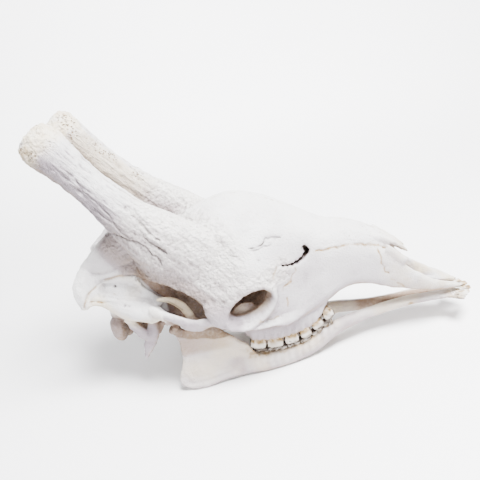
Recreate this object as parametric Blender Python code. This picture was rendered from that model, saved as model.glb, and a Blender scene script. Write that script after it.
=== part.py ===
"""Giraffe skull with its lower jaw, life size, lying as it rests on the edges of the jaw.

The bones are laid out in the skull's own frame, in millimetres: X runs forward along the
cheek teeth from the back of the occipital condyles, Y to the animal's left, and Z up from
the chewing line. The right side is written out and the left side mirrors it. The finished
pieces hang from one empty that turns and lifts them so that the jaw's lower edges lie flat.
"""

import math
import random

import bmesh
import bpy
import numpy as np
from mathutils import Matrix, Vector

MM = 0.001
SUTURE_GAP = 0.3

# Driving sizes of the skull.
TOOTH_ROW_BACK = 226.0
TOOTH_ROW_FRONT = 372.0
ORBIT_CENTRE = Vector((238.0, -98.0, 84.0))
ORBIT_LENGTH = 80.0
ORBIT_HEIGHT = 50.0
ORBIT_TILT = math.radians(30.0)
CONDYLE_CENTRE = Vector((16.0, -25.0, 43.0))
CROWN_CLEARANCE = 2.6
UPPER_CROWN = 13.0
LOWER_CROWN = 9.0
TOOTH_ROOT = 7.0
CUSP = 1.8
TOOTH_SIDES = 10
REST_FLAT_DEPTH = 0.7
SMALLEST_PIECE = 24  # points; anything less is a crumb left by a cut

# Grain of the modelled surface, and the triangles that each finished piece may keep.
MASS_GRAIN = 4.5
BONE_GRAIN = 3.2
CRANIUM_TRIANGLES = 7400
JAW_TRIANGLES = 1150

# Long lines of the roof and the face: (x, half width, height) from back to front.
CROWN = ((-8, 0, 178), (60, 0, 194), (130, 0, 208), (188, 0, 232), (226, 0, 241),
         (276, 0, 229), (325, 0, 202), (372, 0, 176), (412, 0, 167), (450, 0, 149),
         (486, 0, 124))
SHOULDER = ((-8, 26, 172), (60, 44, 183), (130, 60, 180), (188, 66, 200), (226, 62, 210),
            (276, 55, 203), (325, 44, 184), (372, 32, 161), (412, 28, 154),
            (450, 25, 137), (486, 21, 113))
BROW = ((-8, 44, 158), (60, 64, 151), (100, 75, 139), (135, 86, 122), (165, 97, 104),
        (205, 105, 108), (242, 104, 121), (272, 93, 122), (300, 73, 128),
        (340, 54, 134), (400, 43, 128), (450, 37, 112), (486, 30, 96))
EAVE = ((-8, 38, 142), (60, 54, 138), (100, 62, 127), (135, 70, 108), (165, 84, 82),
        (205, 92, 74))
FLANK = ((150, 84, 96), (190, 96, 74), (242, 95, 56), (272, 86, 55), (300, 76, 60),
         (340, 61, 62), (400, 46, 88), (450, 39, 78), (486, 31, 64))
MALAR_EDGE = ((150, 60, 80), (190, 78, 52), (242, 80, 36), (275, 77, 29), (315, 68, 33),
              (350, 54, 42), (400, 41, 62), (450, 35, 58), (486, 29, 42))
FLOOR = ((150, 0, 62), (190, 0, 48), (242, 0, 34), (315, 0, 30), (350, 0, 38),
         (400, 0, 50), (450, 0, 50), (486, 0, 40))

# Right upper cheek teeth, back to front: length along the row and width across it.
UPPER_TEETH = (("m3", 27, 22), ("m2", 27, 23), ("m1", 24, 22), ("p4", 21, 21),
               ("p3", 21, 19), ("p2", 20, 16))
LOWER_TEETH = (("m3", 34, 14), ("m2", 25, 15), ("m1", 23, 15), ("p4", 21, 14),
               ("p3", 21, 12), ("p2", 18, 10))
# The chewing line in side view, and how far out the two rows stand from the midline.
CHEWING_LINE = ((222, -17), (248, -22), (282, -23), (310, -20), (335, -12), (358, 2),
                (378, 14))
UPPER_ROW_OUT = ((222, 57), (280, 56), (320, 50), (350, 42), (378, 36))
LOWER_ROW_OUT = ((222, 54), (280, 52), (320, 46), (350, 39), (378, 33))
INCISORS_A_SIDE = 4
PALATE_SLIT = 7.0

BLEACHED_BONE = (0.80, 0.79, 0.76)
HORN_BONE = (0.78, 0.76, 0.71)
JAW_BONE = (0.76, 0.74, 0.70)


def clear_scene():
    for obj in list(bpy.data.objects):
        bpy.data.objects.remove(obj, do_unlink=True)


def along(line, x):
    """The value, or values, of a long line at x, on a smooth curve through its points."""
    table = np.array(line, float)
    xs, values = table[:, 0], table[:, 1:]
    slopes = np.gradient(values, xs, axis=0)
    x = float(np.clip(x, xs[0], xs[-1]))
    i = int(np.clip(np.searchsorted(xs, x) - 1, 0, len(xs) - 2))
    span = xs[i + 1] - xs[i]
    t = (x - xs[i]) / span
    found = (
        (2 * t**3 - 3 * t**2 + 1) * values[i]
        + (t**3 - 2 * t**2 + t) * span * slopes[i]
        + (3 * t**2 - 2 * t**3) * values[i + 1]
        + (t**3 - t**2) * span * slopes[i + 1]
    )
    return found if len(found) > 1 else float(found[0])


def smooth_loop(points, count):
    """A closed ring of this many points on a Catmull-Rom curve through the given ones."""
    p = np.array(points, float)
    n = len(p)
    ring = []
    for k in range(count):
        s = k * n / count
        i, t = int(s), s - int(s)
        a, b, c, d = p[i - 1], p[i % n], p[(i + 1) % n], p[(i + 2) % n]
        ring.append(0.5 * (2 * b + (c - a) * t + (2 * a - 5 * b + 4 * c - d) * t * t
                           + (3 * b - a - 3 * c + d) * t**3))
    return ring


def smooth_path(stations, steps):
    """Catmull-Rom points between the stations, each a tuple of place and sizes."""
    p = np.array(stations, float)
    p = np.vstack([2 * p[0] - p[1], p, 2 * p[-1] - p[-2]])
    path = []
    for i in range(1, len(p) - 2):
        for k in range(steps):
            t = k / steps
            a, b, c, d = p[i - 1], p[i], p[i + 1], p[i + 2]
            path.append(0.5 * (2 * b + (c - a) * t + (2 * a - 5 * b + 4 * c - d) * t * t
                               + (3 * b - a - 3 * c + d) * t**3))
    path.append(p[-2])
    return path


def add_skin(shape, rings):
    """Joins rings of points into one closed tube with capped ends."""
    rows = [[shape.verts.new(Vector(p) * MM) for p in ring] for ring in rings]
    faces = []
    for low, high in zip(rows, rows[1:]):
        for i in range(len(low)):
            j = (i + 1) % len(low)
            faces.append(shape.faces.new((low[i], low[j], high[j], high[i])))
    faces.append(shape.faces.new(rows[0][::-1]))
    faces.append(shape.faces.new(rows[-1]))
    bmesh.ops.recalc_face_normals(shape, faces=faces)


def add_hull(shape, lines, start, end, step, sides=36):
    """A body through long lines, given from the top round to the bottom of its right half."""
    rings = []
    for x in np.linspace(start, end, max(2, round((end - start) / step) + 1)):
        half = [along(line, x) for line in lines]
        loop = [(x, -y, z) for y, z in half] + [(x, y, z) for y, z in half[-2:0:-1]]
        rings.append(smooth_loop(loop, sides))
    add_skin(shape, rings)


def add_limb(shape, stations, up=(0, 0, 1), sides=14, steps=4, power=2.0):
    """A bent bar; each station is x, y, z, its half width across and its half depth on up."""
    path = smooth_path(stations, steps)
    rings = []
    for i, here in enumerate(path):
        back, ahead = path[max(i - 1, 0)], path[min(i + 1, len(path) - 1)]
        heading = Vector(ahead[:3] - back[:3]).normalized()
        across = heading.cross(Vector(up)).normalized()
        rise = across.cross(heading).normalized()
        ring = []
        for k in range(sides):
            turn = 2 * math.pi * k / sides
            c, s = math.cos(turn), math.sin(turn)
            c = math.copysign(abs(c) ** (2 / power), c)
            s = math.copysign(abs(s) ** (2 / power), s)
            ring.append(Vector(here[:3]) + across * (c * here[3]) + rise * (s * here[4]))
        rings.append(ring)
    add_skin(shape, rings)


def add_knob(shape, centre, radii, turn=(0, 0, 0)):
    """An ellipsoid with these half axes, turned by angles in degrees."""
    matrix = Matrix.Translation(Vector(centre) * MM)
    for angle, axis in zip(turn, "XYZ"):
        matrix = matrix @ Matrix.Rotation(math.radians(angle), 4, axis)
    matrix = matrix @ Matrix.Diagonal(Vector(radii) * MM).to_4x4()
    bmesh.ops.create_icosphere(shape, subdivisions=3, radius=1.0, matrix=matrix)


def add_prism(shape, outline, low_y, high_y):
    """A slab whose outline is drawn in side view, from low_y to high_y."""
    add_skin(shape, [[(x, y, z) for x, z in outline] for y in (low_y, high_y)])


def mirrored(stations):
    return [(s[0], -s[1], *s[2:]) for s in stations]


def both_sides(add, shape, stations, **options):
    add(shape, stations, **options)
    add(shape, mirrored(stations), **options)


def knob_pair(shape, centre, radii, turn=(0, 0, 0)):
    add_knob(shape, centre, radii, turn)
    add_knob(shape, (centre[0], -centre[1], centre[2]), radii,
             (-turn[0], turn[1], -turn[2]))


def make_object(name, shape):
    mesh = bpy.data.meshes.new(name)
    shape.to_mesh(mesh)
    shape.free()
    obj = bpy.data.objects.new(name, mesh)
    bpy.context.scene.collection.objects.link(obj)
    return obj


def settle(obj):
    """Turns the object's modifiers into its own mesh."""
    bpy.context.view_layer.update()
    graph = bpy.context.evaluated_depsgraph_get()
    old = obj.data
    obj.data = bpy.data.meshes.new_from_object(obj.evaluated_get(graph))
    obj.modifiers.clear()
    bpy.data.meshes.remove(old)
    obj.data.name = obj.name


def weld_masses(obj, grain, rounds):
    """Makes one skin of overlapping shells and rounds off where they meet."""
    remesh = obj.modifiers.new("one_skin", "REMESH")
    remesh.mode = "VOXEL"
    remesh.voxel_size = grain * MM
    smooth = obj.modifiers.new("soften", "SMOOTH")
    smooth.factor = 0.5
    smooth.iterations = rounds
    settle(obj)


def thin_out(obj, triangles):
    obj.data.calc_loop_triangles()
    decimate = obj.modifiers.new("thin_out", "DECIMATE")
    decimate.ratio = min(1.0, triangles / len(obj.data.loop_triangles))
    decimate.use_collapse_triangulate = True
    settle(obj)


def boolean(obj, other, operation, solver="EXACT"):
    other.hide_render = True
    other.display_type = "WIRE"
    change = obj.modifiers.new(operation.lower(), "BOOLEAN")
    change.operation = operation
    change.solver = solver
    change.object = other
    settle(obj)
    bpy.data.objects.remove(other, do_unlink=True)


def keep_largest(obj):
    """Keeps only the largest closed surface of the object."""
    shape = bmesh.new()
    shape.from_mesh(obj.data)
    islands = islands_of(shape)
    for island in sorted(islands, key=len)[:-1]:
        bmesh.ops.delete(shape, geom=list(island), context="VERTS")
    shape.to_mesh(obj.data)
    shape.free()


def islands_of(shape):
    """The separate surfaces of a mesh, each as a set of its vertices."""
    left = set(shape.verts)
    islands = []
    while left:
        island, front = set(), [left.pop()]
        while front:
            vert = front.pop()
            island.add(vert)
            for edge in vert.link_edges:
                other = edge.other_vert(vert)
                if other in left:
                    left.discard(other)
                    front.append(other)
        islands.append(island)
    return islands


def separated(obj):
    """One object for each large closed surface of this one, which is removed."""
    source = bmesh.new()
    source.from_mesh(obj.data)
    source.verts.index_update()
    groups = [sorted(v.index for v in island) for island in islands_of(source)]
    source.free()
    pieces = []
    for group in groups:
        if len(group) < SMALLEST_PIECE:
            continue
        keep = set(group)
        shape = bmesh.new()
        shape.from_mesh(obj.data)
        doomed = [v for v in shape.verts if v.index not in keep]
        bmesh.ops.delete(shape, geom=doomed, context="VERTS")
        pieces.append(make_object("piece", shape))
    bpy.data.objects.remove(obj, do_unlink=True)
    return pieces


def middle(obj):
    corners = np.array([v.co for v in obj.data.vertices]) / MM
    return (corners.min(axis=0) + corners.max(axis=0)) / 2


# Main masses


def add_roof_and_face(shape):
    """The domed frontal roof, the snout and the box of the maxillae."""
    roof_floor = [(x, 0, z - 12) for x, _, z in EAVE]
    add_hull(shape, (CROWN, SHOULDER, BROW, EAVE, roof_floor), -6, 200, 8)
    add_hull(shape, (CROWN, SHOULDER, BROW, FLANK, MALAR_EDGE, FLOOR), 168, 476, 8)


def add_braincase(shape):
    """The brain's own swelling with the squamous walls that flare to the jaw joints."""
    add_knob(shape, (72, 0, 112), (92, 55, 56))
    add_knob(shape, (40, 0, 112), (54, 56, 60))
    add_limb(shape, [(4, 0, 62, 30, 22), (60, 0, 56, 28, 18), (130, 0, 58, 22, 16),
                     (215, 0, 52, 18, 18)], sides=18)
    both_sides(add_limb, shape, [(84, -38, 66, 14, 26), (120, -36, 60, 14, 27),
                                 (160, -34, 55, 14, 27), (200, -36, 50, 12, 24)])
    both_sides(add_limb, shape, [(6, -42, 104, 16, 18), (34, -50, 92, 18, 20),
                                 (66, -58, 84, 20, 14), (98, -74, 78, 18, 8)],
               up=(0, 0, 1))


def add_occiput(shape):
    """The nuchal plate behind the braincase, whose side edges sweep back."""
    rings = []
    for z, half_width, middle_x, edge_x, thick in (
            (34, 26, 22, 24, 22), (62, 40, 18, 16, 26), (86, 52, 10, -4, 26),
            (108, 58, 4, -18, 22), (130, 60, -1, -24, 18), (150, 55, -3, -20, 16),
            (168, 40, -2, -10, 14), (180, 24, 2, -1, 12)):
        spread = np.linspace(-1, 1, 13)
        back = middle_x + (edge_x - middle_x) * np.abs(spread) ** 1.7
        rear = [(x, half_width * s, z) for x, s in zip(back, spread)]
        rings.append(rear + [(x + thick, y, z) for x, y, z in rear[::-1]])
    add_skin(shape, rings)


def add_ossicones(shape):
    """The two horns with their wide striated bases."""
    stations = [(174, -62, 146, 26, 56), (142, -61, 178, 30, 57), (114, -60, 207, 31, 49),
                (85, -59, 240, 29, 37), (62, -56, 269, 27, 30), (41, -52, 296, 26, 27),
                (22, -49, 321, 26.5, 27), (6, -46, 342, 29.5, 29.5), (-8, -44, 358, 32.5, 33),
                (-18, -43, 370, 32, 31), (-25, -42, 378, 24, 23)]
    both_sides(add_limb, shape, stations, up=(1, 0, 0.7), sides=20)


def make_masses():
    shape = bmesh.new()
    add_roof_and_face(shape)
    add_braincase(shape)
    add_occiput(shape)
    add_ossicones(shape)
    masses = make_object("masses", shape)
    weld_masses(masses, MASS_GRAIN, 8)
    return masses


# Thin forms of the cranium


def add_crests(shape):
    """The nuchal crest, a flange that sweeps out and back on each side."""
    both_sides(add_limb, shape, [(4, -6, 180, 6, 8), (-2, -24, 175, 6, 9),
                                 (-13, -44, 163, 5, 10), (-23, -57, 148, 4.5, 10),
                                 (-26, -62, 130, 4.5, 10), (-21, -60, 110, 5, 10),
                                 (0, -55, 93, 7, 10), (26, -55, 80, 9, 11)],
               up=(1, 0, 0.2), sides=12)


def add_condyles(shape):
    """The occipital condyles either side of the hole for the spinal cord."""
    knob_pair(shape, CONDYLE_CENTRE, (17, 14, 24), (0, -20, 18))
    knob_pair(shape, CONDYLE_CENTRE + Vector((-4, 4, 14)), (13, 11, 14))


def add_ear_region(shape):
    """The paroccipital processes, the bullae and the mastoid lumps."""
    both_sides(add_limb, shape, [(36, -50, 70, 12, 12), (44, -55, 44, 9, 12),
                                 (50, -57, 22, 6, 11), (54, -57, 4, 3.5, 7)],
               up=(1, 0, 0), sides=12)
    knob_pair(shape, (66, -38, 38), (19, 13, 17), (0, 20, 0))
    knob_pair(shape, (56, -54, 42), (12, 9, 16), (0, -20, 0))
    both_sides(add_limb, shape, [(60, -50, 62, 9, 9), (68, -60, 60, 7, 7)], sides=10)


def add_arches(shape):
    """The zygomatic arch from the jaw joint to the malar bone under the orbit."""
    both_sides(add_limb, shape, [(70, -64, 86, 8, 12), (92, -84, 80, 8, 13),
                                 (114, -91, 71, 6, 13), (142, -94, 62, 5, 14),
                                 (168, -97, 58, 5, 13.5), (192, -101, 53, 6, 12),
                                 (222, -101, 45, 8, 11), (252, -94, 42, 8, 11),
                                 (284, -82, 40, 8, 11), (316, -66, 44, 8, 10)],
               sides=12)
    both_sides(add_limb, shape, [(96, -58, 72, 22, 6), (112, -78, 68, 22, 6),
                                 (116, -92, 66, 16, 5)], sides=12)


def orbit_point(turn, swell, out):
    """A point of the orbit's rim: swell scales the opening and out moves it sideways."""
    u = math.cos(turn) * ORBIT_LENGTH / 2 * swell
    v = math.sin(turn) * ORBIT_HEIGHT / 2 * swell
    c, s = math.cos(ORBIT_TILT), math.sin(ORBIT_TILT)
    rear_flare = 6.0 * math.cos(turn)
    return (ORBIT_CENTRE.x + u * c - v * s,
            ORBIT_CENTRE.y + rear_flare - out,
            ORBIT_CENTRE.z + u * s + v * c)


def add_orbit_rims(shape):
    """A thick rim round each orbit, sharpest at the front and below."""
    rim = []
    for k in range(25):
        turn = 2 * math.pi * k / 24
        thick = 6.0 + 1.5 * math.cos(turn - math.radians(100))
        rim.append((*orbit_point(turn, 1.12, 0.0), thick, thick))
    both_sides(add_limb, shape, rim, up=(0, 1, 0), sides=10, steps=1)
    both_sides(add_limb, shape, [(172, -94, 100, 14, 12), (186, -100, 84, 11, 16),
                                 (192, -102, 68, 9, 16), (196, -101, 54, 7, 12)],
               up=(1, 0, 0), sides=12)


def add_jaw_walls(shape):
    """The walls that hold the upper cheek teeth, and the swelling behind the last one."""
    wall = []
    for x, half_width, half_depth in ((232, 12.5, 19), (262, 12.5, 19), (292, 12, 19),
                                      (322, 11, 19), (348, 9.5, 17), (366, 8, 14),
                                      (384, 6, 9)):
        foot = along(CHEWING_LINE, x) + CROWN_CLEARANCE + UPPER_CROWN
        wall.append((x, -along(UPPER_ROW_OUT, x), foot + half_depth, half_width, half_depth))
    both_sides(add_limb, shape, wall, sides=14, power=2.8)
    knob_pair(shape, (228, -56, 26), (12, 11, 24))


def add_pterygoids(shape):
    """Thin upright plates that wall the inner nostrils behind the palate."""
    both_sides(add_limb, shape, [(140, -20, 42, 4, 12), (172, -26, 34, 4, 22),
                                 (204, -32, 30, 5, 24), (232, -38, 26, 7, 20)],
               sides=12)
    both_sides(add_limb, shape, [(166, -26, 20, 3.5, 8), (158, -27, 8, 3, 5)], sides=8)


def add_premaxillae(shape):
    """The two slender blades in front of the maxillae."""
    both_sides(add_limb, shape, [(436, -36, 92, 5, 34), (464, -34, 80, 5, 31),
                                 (488, -31, 65, 5, 28), (512, -29, 50, 5.5, 20),
                                 (545, -27, 34, 6, 13), (572, -21, 25, 6.5, 8.5),
                                 (590, -14, 18, 7, 6.5), (603, -9, 12, 4.5, 4.5)],
               sides=12)
    both_sides(add_limb, shape, [(470, -15, 44, 11, 4), (510, -13, 32, 9, 4),
                                 (555, -12, 23, 8, 4), (590, -11, 16, 7, 4)], sides=10)


def add_nasals(shape):
    """The nasal bones where they run free over the nostrils, forked at the tip."""
    both_sides(add_limb, shape, [(430, -12, 136, 11, 5), (450, -13, 136, 14, 7),
                                 (468, -13, 127, 15, 7), (486, -13, 115, 13, 6),
                                 (502, -12, 102, 9, 5), (514, -11, 91, 4, 3.5)],
               up=(0, 0.35, 1), sides=14)


# Hollows


def cut_orbits(obj):
    """Funnels that run in and slightly back from each rim."""
    shape = bmesh.new()
    for side in (1, -1):
        rings = []
        for out, swell, lift in ((34, 1.06, 0), (6, 1.0, 0), (-6, 0.92, 3), (-14, 0.84, 6),
                                 (-24, 0.88, 5), (-48, 0.8, 2), (-66, 0.45, 0)):
            ring = []
            for k in range(24):
                x, y, z = orbit_point(2 * math.pi * k / 24, swell, out)
                drift = min(out, 0) * 0.16
                ring.append((x + drift, side * y, z + lift))
            rings.append(ring)
        add_skin(shape, rings)
    boolean(obj, make_object("orbit_cut", shape), "DIFFERENCE")


def cut_fossae(obj):
    """The passage behind each orbit, from under the roof's eave to the eye socket."""
    shape = bmesh.new()
    both_sides(add_limb, shape, [(92, -88, 104, 14, 10), (116, -86, 97, 20, 17),
                                 (144, -82, 86, 20, 22), (176, -72, 74, 17, 23),
                                 (214, -64, 72, 14, 18)], sides=16)
    boolean(obj, make_object("fossa_cut", shape), "DIFFERENCE")


def hollow(obj, add, *args, **options):
    """Takes one closed form, made by add, out of the object."""
    shape = bmesh.new()
    add(shape, *args, **options)
    boolean(obj, make_object("hollow", shape), "DIFFERENCE")


def cut_nostril(obj):
    """The nasal passage, open in front, with the floor and side walls left standing."""
    hollow(obj, add_limb, [(386, 0, 104, 12, 20), (410, 0, 102, 24, 32),
                           (440, 0, 95, 28, 40.5), (470, 0, 84, 25, 40),
                           (500, 0, 70, 22, 31), (530, 0, 58, 21, 26)], sides=20, power=2.6)
    notch = [(480, 108), (498, 97), (530, 74), (530, 60), (512, 71), (494, 92)]
    hollow(obj, add_prism, notch, -60, 60)


def cut_palate_slit(obj):
    """The slit between the two premaxillae, all the way to their tips."""
    slit = [(448, 66), (470, 76), (640, 76), (640, -10), (497, -10), (490, 28), (478, 50)]
    hollow(obj, add_prism, slit, -PALATE_SLIT / 2, PALATE_SLIT / 2)


def cut_underside(obj):
    """The arched palate, the inner nostrils and the hole for the spinal cord."""
    hollow(obj, add_limb, [(206, 0, 2, 34, 20), (240, 0, 4, 40, 22), (290, 0, 4, 38, 20),
                           (330, 0, 8, 32, 18), (370, 0, 20, 24, 16), (410, 0, 36, 22, 10),
                           (450, 0, 38, 20, 8), (500, 0, 22, 20, 8)], sides=20)
    hollow(obj, add_limb, [(150, 0, 14, 18, 22), (190, 0, 16, 22, 24), (226, 0, 20, 24, 22),
                           (246, 0, 26, 20, 16)], sides=16)
    hollow(obj, add_limb, [(-30, 0, 72, 17, 17), (10, 0, 72, 16, 16), (34, 0, 74, 12, 12)],
           sides=16)


def make_cranium():
    """The whole upper skull as one skin, before it is parted at its sutures."""
    cranium = make_masses()
    shape = bmesh.new()
    shape.from_mesh(cranium.data)
    add_crests(shape)
    add_condyles(shape)
    add_ear_region(shape)
    add_arches(shape)
    add_orbit_rims(shape)
    add_jaw_walls(shape)
    add_pterygoids(shape)
    add_premaxillae(shape)
    add_nasals(shape)
    bpy.data.objects.remove(cranium, do_unlink=True)
    cranium = make_object("cranium", shape)
    weld_masses(cranium, BONE_GRAIN, 2)
    cut_orbits(cranium)
    cut_fossae(cranium)
    cut_nostril(cranium)
    cut_palate_slit(cranium)
    cut_underside(cranium)
    weld_masses(cranium, BONE_GRAIN, 3)
    keep_largest(cranium)
    thin_out(cranium, CRANIUM_TRIANGLES)
    return cranium


# Saw cuts at the sutures


def add_saw(shape, path, low_y, high_y):
    """A thin blade that follows a path in side view, from low_y to high_y."""
    points = [Vector((x, z)) for x, z in path]
    edges = ([], [])
    for i, here in enumerate(points):
        ahead = points[min(i + 1, len(points) - 1)] - points[max(i - 1, 0)]
        normal = Vector((-ahead.y, ahead.x)).normalized() * SUTURE_GAP / 2
        edges[0].append(here + normal)
        edges[1].append(here - normal)
    add_prism(shape, edges[0] + edges[1][::-1], low_y, high_y)


def cut_sutures(obj):
    """Parts the nasals, the premaxillae, the braincase and the horns from the face."""
    shape = bmesh.new()
    add_saw(shape, [(352, 260), (340, 200), (334, 150), (346, 141), (368, 138), (400, 138),
                    (421, 137), (441, 132), (462, 122), (480, 107), (498, 95)], -90, 90)
    boolean(obj, make_object("nasal_saw", shape), "DIFFERENCE")
    shape = bmesh.new()
    add_saw(shape, [(441, 131.8), (445, 104), (452, 88), (470, 68), (482, 48),
                    (494, 20)], -80, 80)
    boolean(obj, make_object("premaxilla_saw", shape), "DIFFERENCE")
    shape = bmesh.new()
    add_saw(shape, [(176, 300), (176, -20)], -150, 150)
    boolean(obj, make_object("coronal_saw", shape), "DIFFERENCE")
    shape = bmesh.new()
    for side in (-1, 1):
        foot = Vector((72, side * 58, 255))
        axis = Vector((-20, -side * 4, 26)).normalized()
        half = axis * SUTURE_GAP / 2
        add_limb(shape, [(*(foot - half), 50, 50), (*(foot + half), 50, 50)],
                 up=(1, 0, 0.7), sides=24, steps=1)
    boolean(obj, make_object("horn_saw", shape), "DIFFERENCE")


# Teeth


def add_tooth(shape, middle_x, out, heading, length, width, upper, draw):
    """A cheek tooth with two pillars, whose worn face keeps to the chewing line."""
    heading = Vector((heading[0], heading[1], 0)).normalized()
    across = Vector((-heading.y, heading.x, 0))
    crown = UPPER_CROWN if upper else LOWER_CROWN
    rise = 1 if upper else -1
    rings = []
    for level, swell in ((-TOOTH_ROOT, 0.66), (0.4, 1.0), (0.9, 0.97), (1.0, 0.8)):
        ring = []
        for k in range(TOOTH_SIDES):
            turn = 2 * math.pi * k / TOOTH_SIDES
            pinch = 1.0 - 0.22 * math.exp(-(math.cos(turn) / 0.3) ** 2)
            u = math.cos(turn) * length / 2 * swell
            v = math.sin(turn) * width / 2 * swell * pinch
            spot = Vector((middle_x, out, 0)) + heading * u + across * v
            above = crown - level if level < 0 else crown * (1 - level)
            if level >= 0.9:
                above -= CUSP * abs(math.cos(turn)) + draw.uniform(-0.3, 0.3)
            spot.z = along(CHEWING_LINE, spot.x) + rise * (CROWN_CLEARANCE + above)
            ring.append(spot)
        rings.append(ring)
    add_skin(shape, rings)


def cheek_teeth(name, sizes, row_out, side, upper):
    """One object with a row of cheek teeth, back to front, for fusing to its bone."""
    draw = random.Random(name)
    shape = bmesh.new()
    scale = (TOOTH_ROW_FRONT - TOOTH_ROW_BACK) / sum(length for _, length, _ in sizes)
    x = TOOTH_ROW_BACK
    for _, length, width in sizes:
        middle_x = x + length * scale / 2
        ahead = along(row_out, middle_x + 5) - along(row_out, middle_x - 5)
        add_tooth(shape, middle_x, side * along(row_out, middle_x), (10, side * ahead),
                  length * scale * draw.uniform(0.93, 0.96), width, upper, draw)
        x += length * scale
    return make_object(name, shape)


def fuse(obj, teeth):
    """Joins the closed teeth to their bone by one union and keeps one closed surface."""
    group = bpy.data.collections.new("teeth")
    bpy.context.scene.collection.children.link(group)
    for tooth in separated(teeth):
        bpy.context.scene.collection.objects.unlink(tooth)
        group.objects.link(tooth)
    join = obj.modifiers.new("teeth", "BOOLEAN")
    join.operation = "UNION"
    join.operand_type = "COLLECTION"
    join.collection = group
    join.solver = "EXACT"
    settle(obj)
    for tooth in list(group.objects):
        bpy.data.objects.remove(tooth, do_unlink=True)
    bpy.data.collections.remove(group)
    keep_largest(obj)


# Lower jaw


def add_ramus(shape):
    """The upright plate behind the teeth, with the angle, condyle and coronoid process."""
    outline = [(106, -69), (98, -58), (98, -46), (104, -30), (111, -10), (113, 14),
               (110, 36), (107, 50), (120, 52), (130, 44), (140, 48), (160, 50),
               (180, 40), (196, 24), (210, 7), (222, -3), (228, -16), (238, -36),
               (238, -62), (205, -65), (174, -66), (146, -71), (122, -73)]
    outline = [tuple(p) for p in smooth_loop(outline, 46)]
    rings = []
    for y, shrink in ((-79, 0.9), (-77.5, 0.97), (-74, 1.0), (-70.5, 0.97), (-69, 0.9)):
        rings.append([(165 + (x - 165) * shrink,
                       y + 0.03 * (x - 165) + 0.12 * max(x - 180, 0),
                       -20 + (z + 20) * shrink) for x, z in outline])
    add_skin(shape, rings)
    add_limb(shape, [(101, -77, -48, 5, 6), (106, -78, -60, 6, 6), (122, -78, -67, 6.5, 6),
                     (146, -77, -66, 6, 6), (176, -73, -59, 6, 7)], sides=10)
    add_limb(shape, [(109, -83, 50, 8, 5.5), (110, -72, 52, 9, 6), (113, -58, 49, 7, 5.5)],
             sides=12)
    add_limb(shape, [(113, -74, 46, 5, 7), (117, -75, 26, 5, 8), (116, -75, 0, 5, 8)],
             up=(0, 1, 0), sides=10)
    add_limb(shape, [(166, -73, 24, 4.5, 20), (162, -71, 52, 4, 18),
                     (151, -69, 76, 3.5, 14), (134, -67, 92, 3, 9)],
             up=(1, 0, 0), sides=10)


def add_jaw_body(shape):
    """The body under the teeth, the toothless bar and the half of the chin."""
    add_limb(shape, [(206, -68, -38, 7, 25), (236, -64, -49, 9.5, 18.5),
                     (266, -59, -50.5, 11, 17), (300, -52, -48, 11, 16.5),
                     (332, -45, -41, 10.5, 16.5), (360, -37, -28, 10, 15.5),
                     (386, -29, -20, 9, 13.5), (417, -20, -16, 8, 12),
                     (450, -13.5, -12, 8, 10), (484, -10, -7, 9.5, 8.5),
                     (520, -9, -3, 10, 8), (556, -10, -1, 10.5, 7), (586, -11.5, 0, 12, 6),
                     (598, -12, 0.5, 12, 5)], sides=16, power=2.3)
    add_limb(shape, [(194, -72, 2, 4, 10), (208, -70, -16, 5, 10), (226, -65, -38, 7, 7)],
             up=(1, 0, 0.6), sides=10)


def make_jaw(name, side):
    """Half of the lower jaw; the right half is built and the left one mirrors it."""
    shape = bmesh.new()
    add_ramus(shape)
    add_jaw_body(shape)
    if side > 0:
        bmesh.ops.scale(shape, vec=(1, -1, 1), verts=shape.verts)
        bmesh.ops.reverse_faces(shape, faces=shape.faces)
    jaw = make_object(name, shape)
    weld_masses(jaw, 2.6, 3)
    keep_largest(jaw)
    thin_out(jaw, JAW_TRIANGLES)
    shape = bmesh.new()
    bmesh.ops.create_cube(shape, size=1.0, matrix=Matrix.Translation(
        (0.3, -side * 0.25, 0)) @ Matrix.Diagonal((1.2, 0.5 + SUTURE_GAP * MM, 1.2, 1)))
    boolean(jaw, make_object("midline_cut", shape), "DIFFERENCE")
    return jaw


def incisors(name, side):
    """The spade-shaped front teeth of one side, fanned out from the midline."""
    draw = random.Random(name)
    shape = bmesh.new()
    for place in range(INCISORS_A_SIDE):
        fan = math.radians(4 + 10 * place)
        root = Vector((586 - 2 * place, side * (5.0 + 5.0 * place), 0.0))
        reach = 38 - 3.0 * place
        tip = root + Vector((math.cos(fan) * reach, side * math.sin(fan) * reach,
                             draw.uniform(2, 5)))
        wide = draw.uniform(4.9, 5.4)
        add_limb(shape, [(*root, 2.4, 2.4), (*root.lerp(tip, 0.45), 3.4, 3.6),
                         (*root.lerp(tip, 0.8), wide, 4.0), (*tip, wide * 0.9, 2.0)],
                 sides=8, steps=1)
    return make_object(name, shape)


# Materials, pose and assembly


def bone_material(name, colour, roughness):
    material = bpy.data.materials.new(name)
    material.use_nodes = True
    shader = material.node_tree.nodes["Principled BSDF"]
    shader.inputs["Base Color"].default_value = (*colour, 1.0)
    shader.inputs["Roughness"].default_value = roughness
    shader.inputs["Metallic"].default_value = 0.0
    return material


def name_of(piece):
    """The bone that a piece of the parted cranium is, told by where it lies."""
    x, y, z = middle(piece)
    side = "right" if y < 0 else "left"
    if z > 290:
        return "ossicone_" + side
    if x < 120:
        return "braincase"
    if x > 480:
        return "premaxilla_" + side
    return "nasal_bones" if z > 135 else "face"


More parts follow.
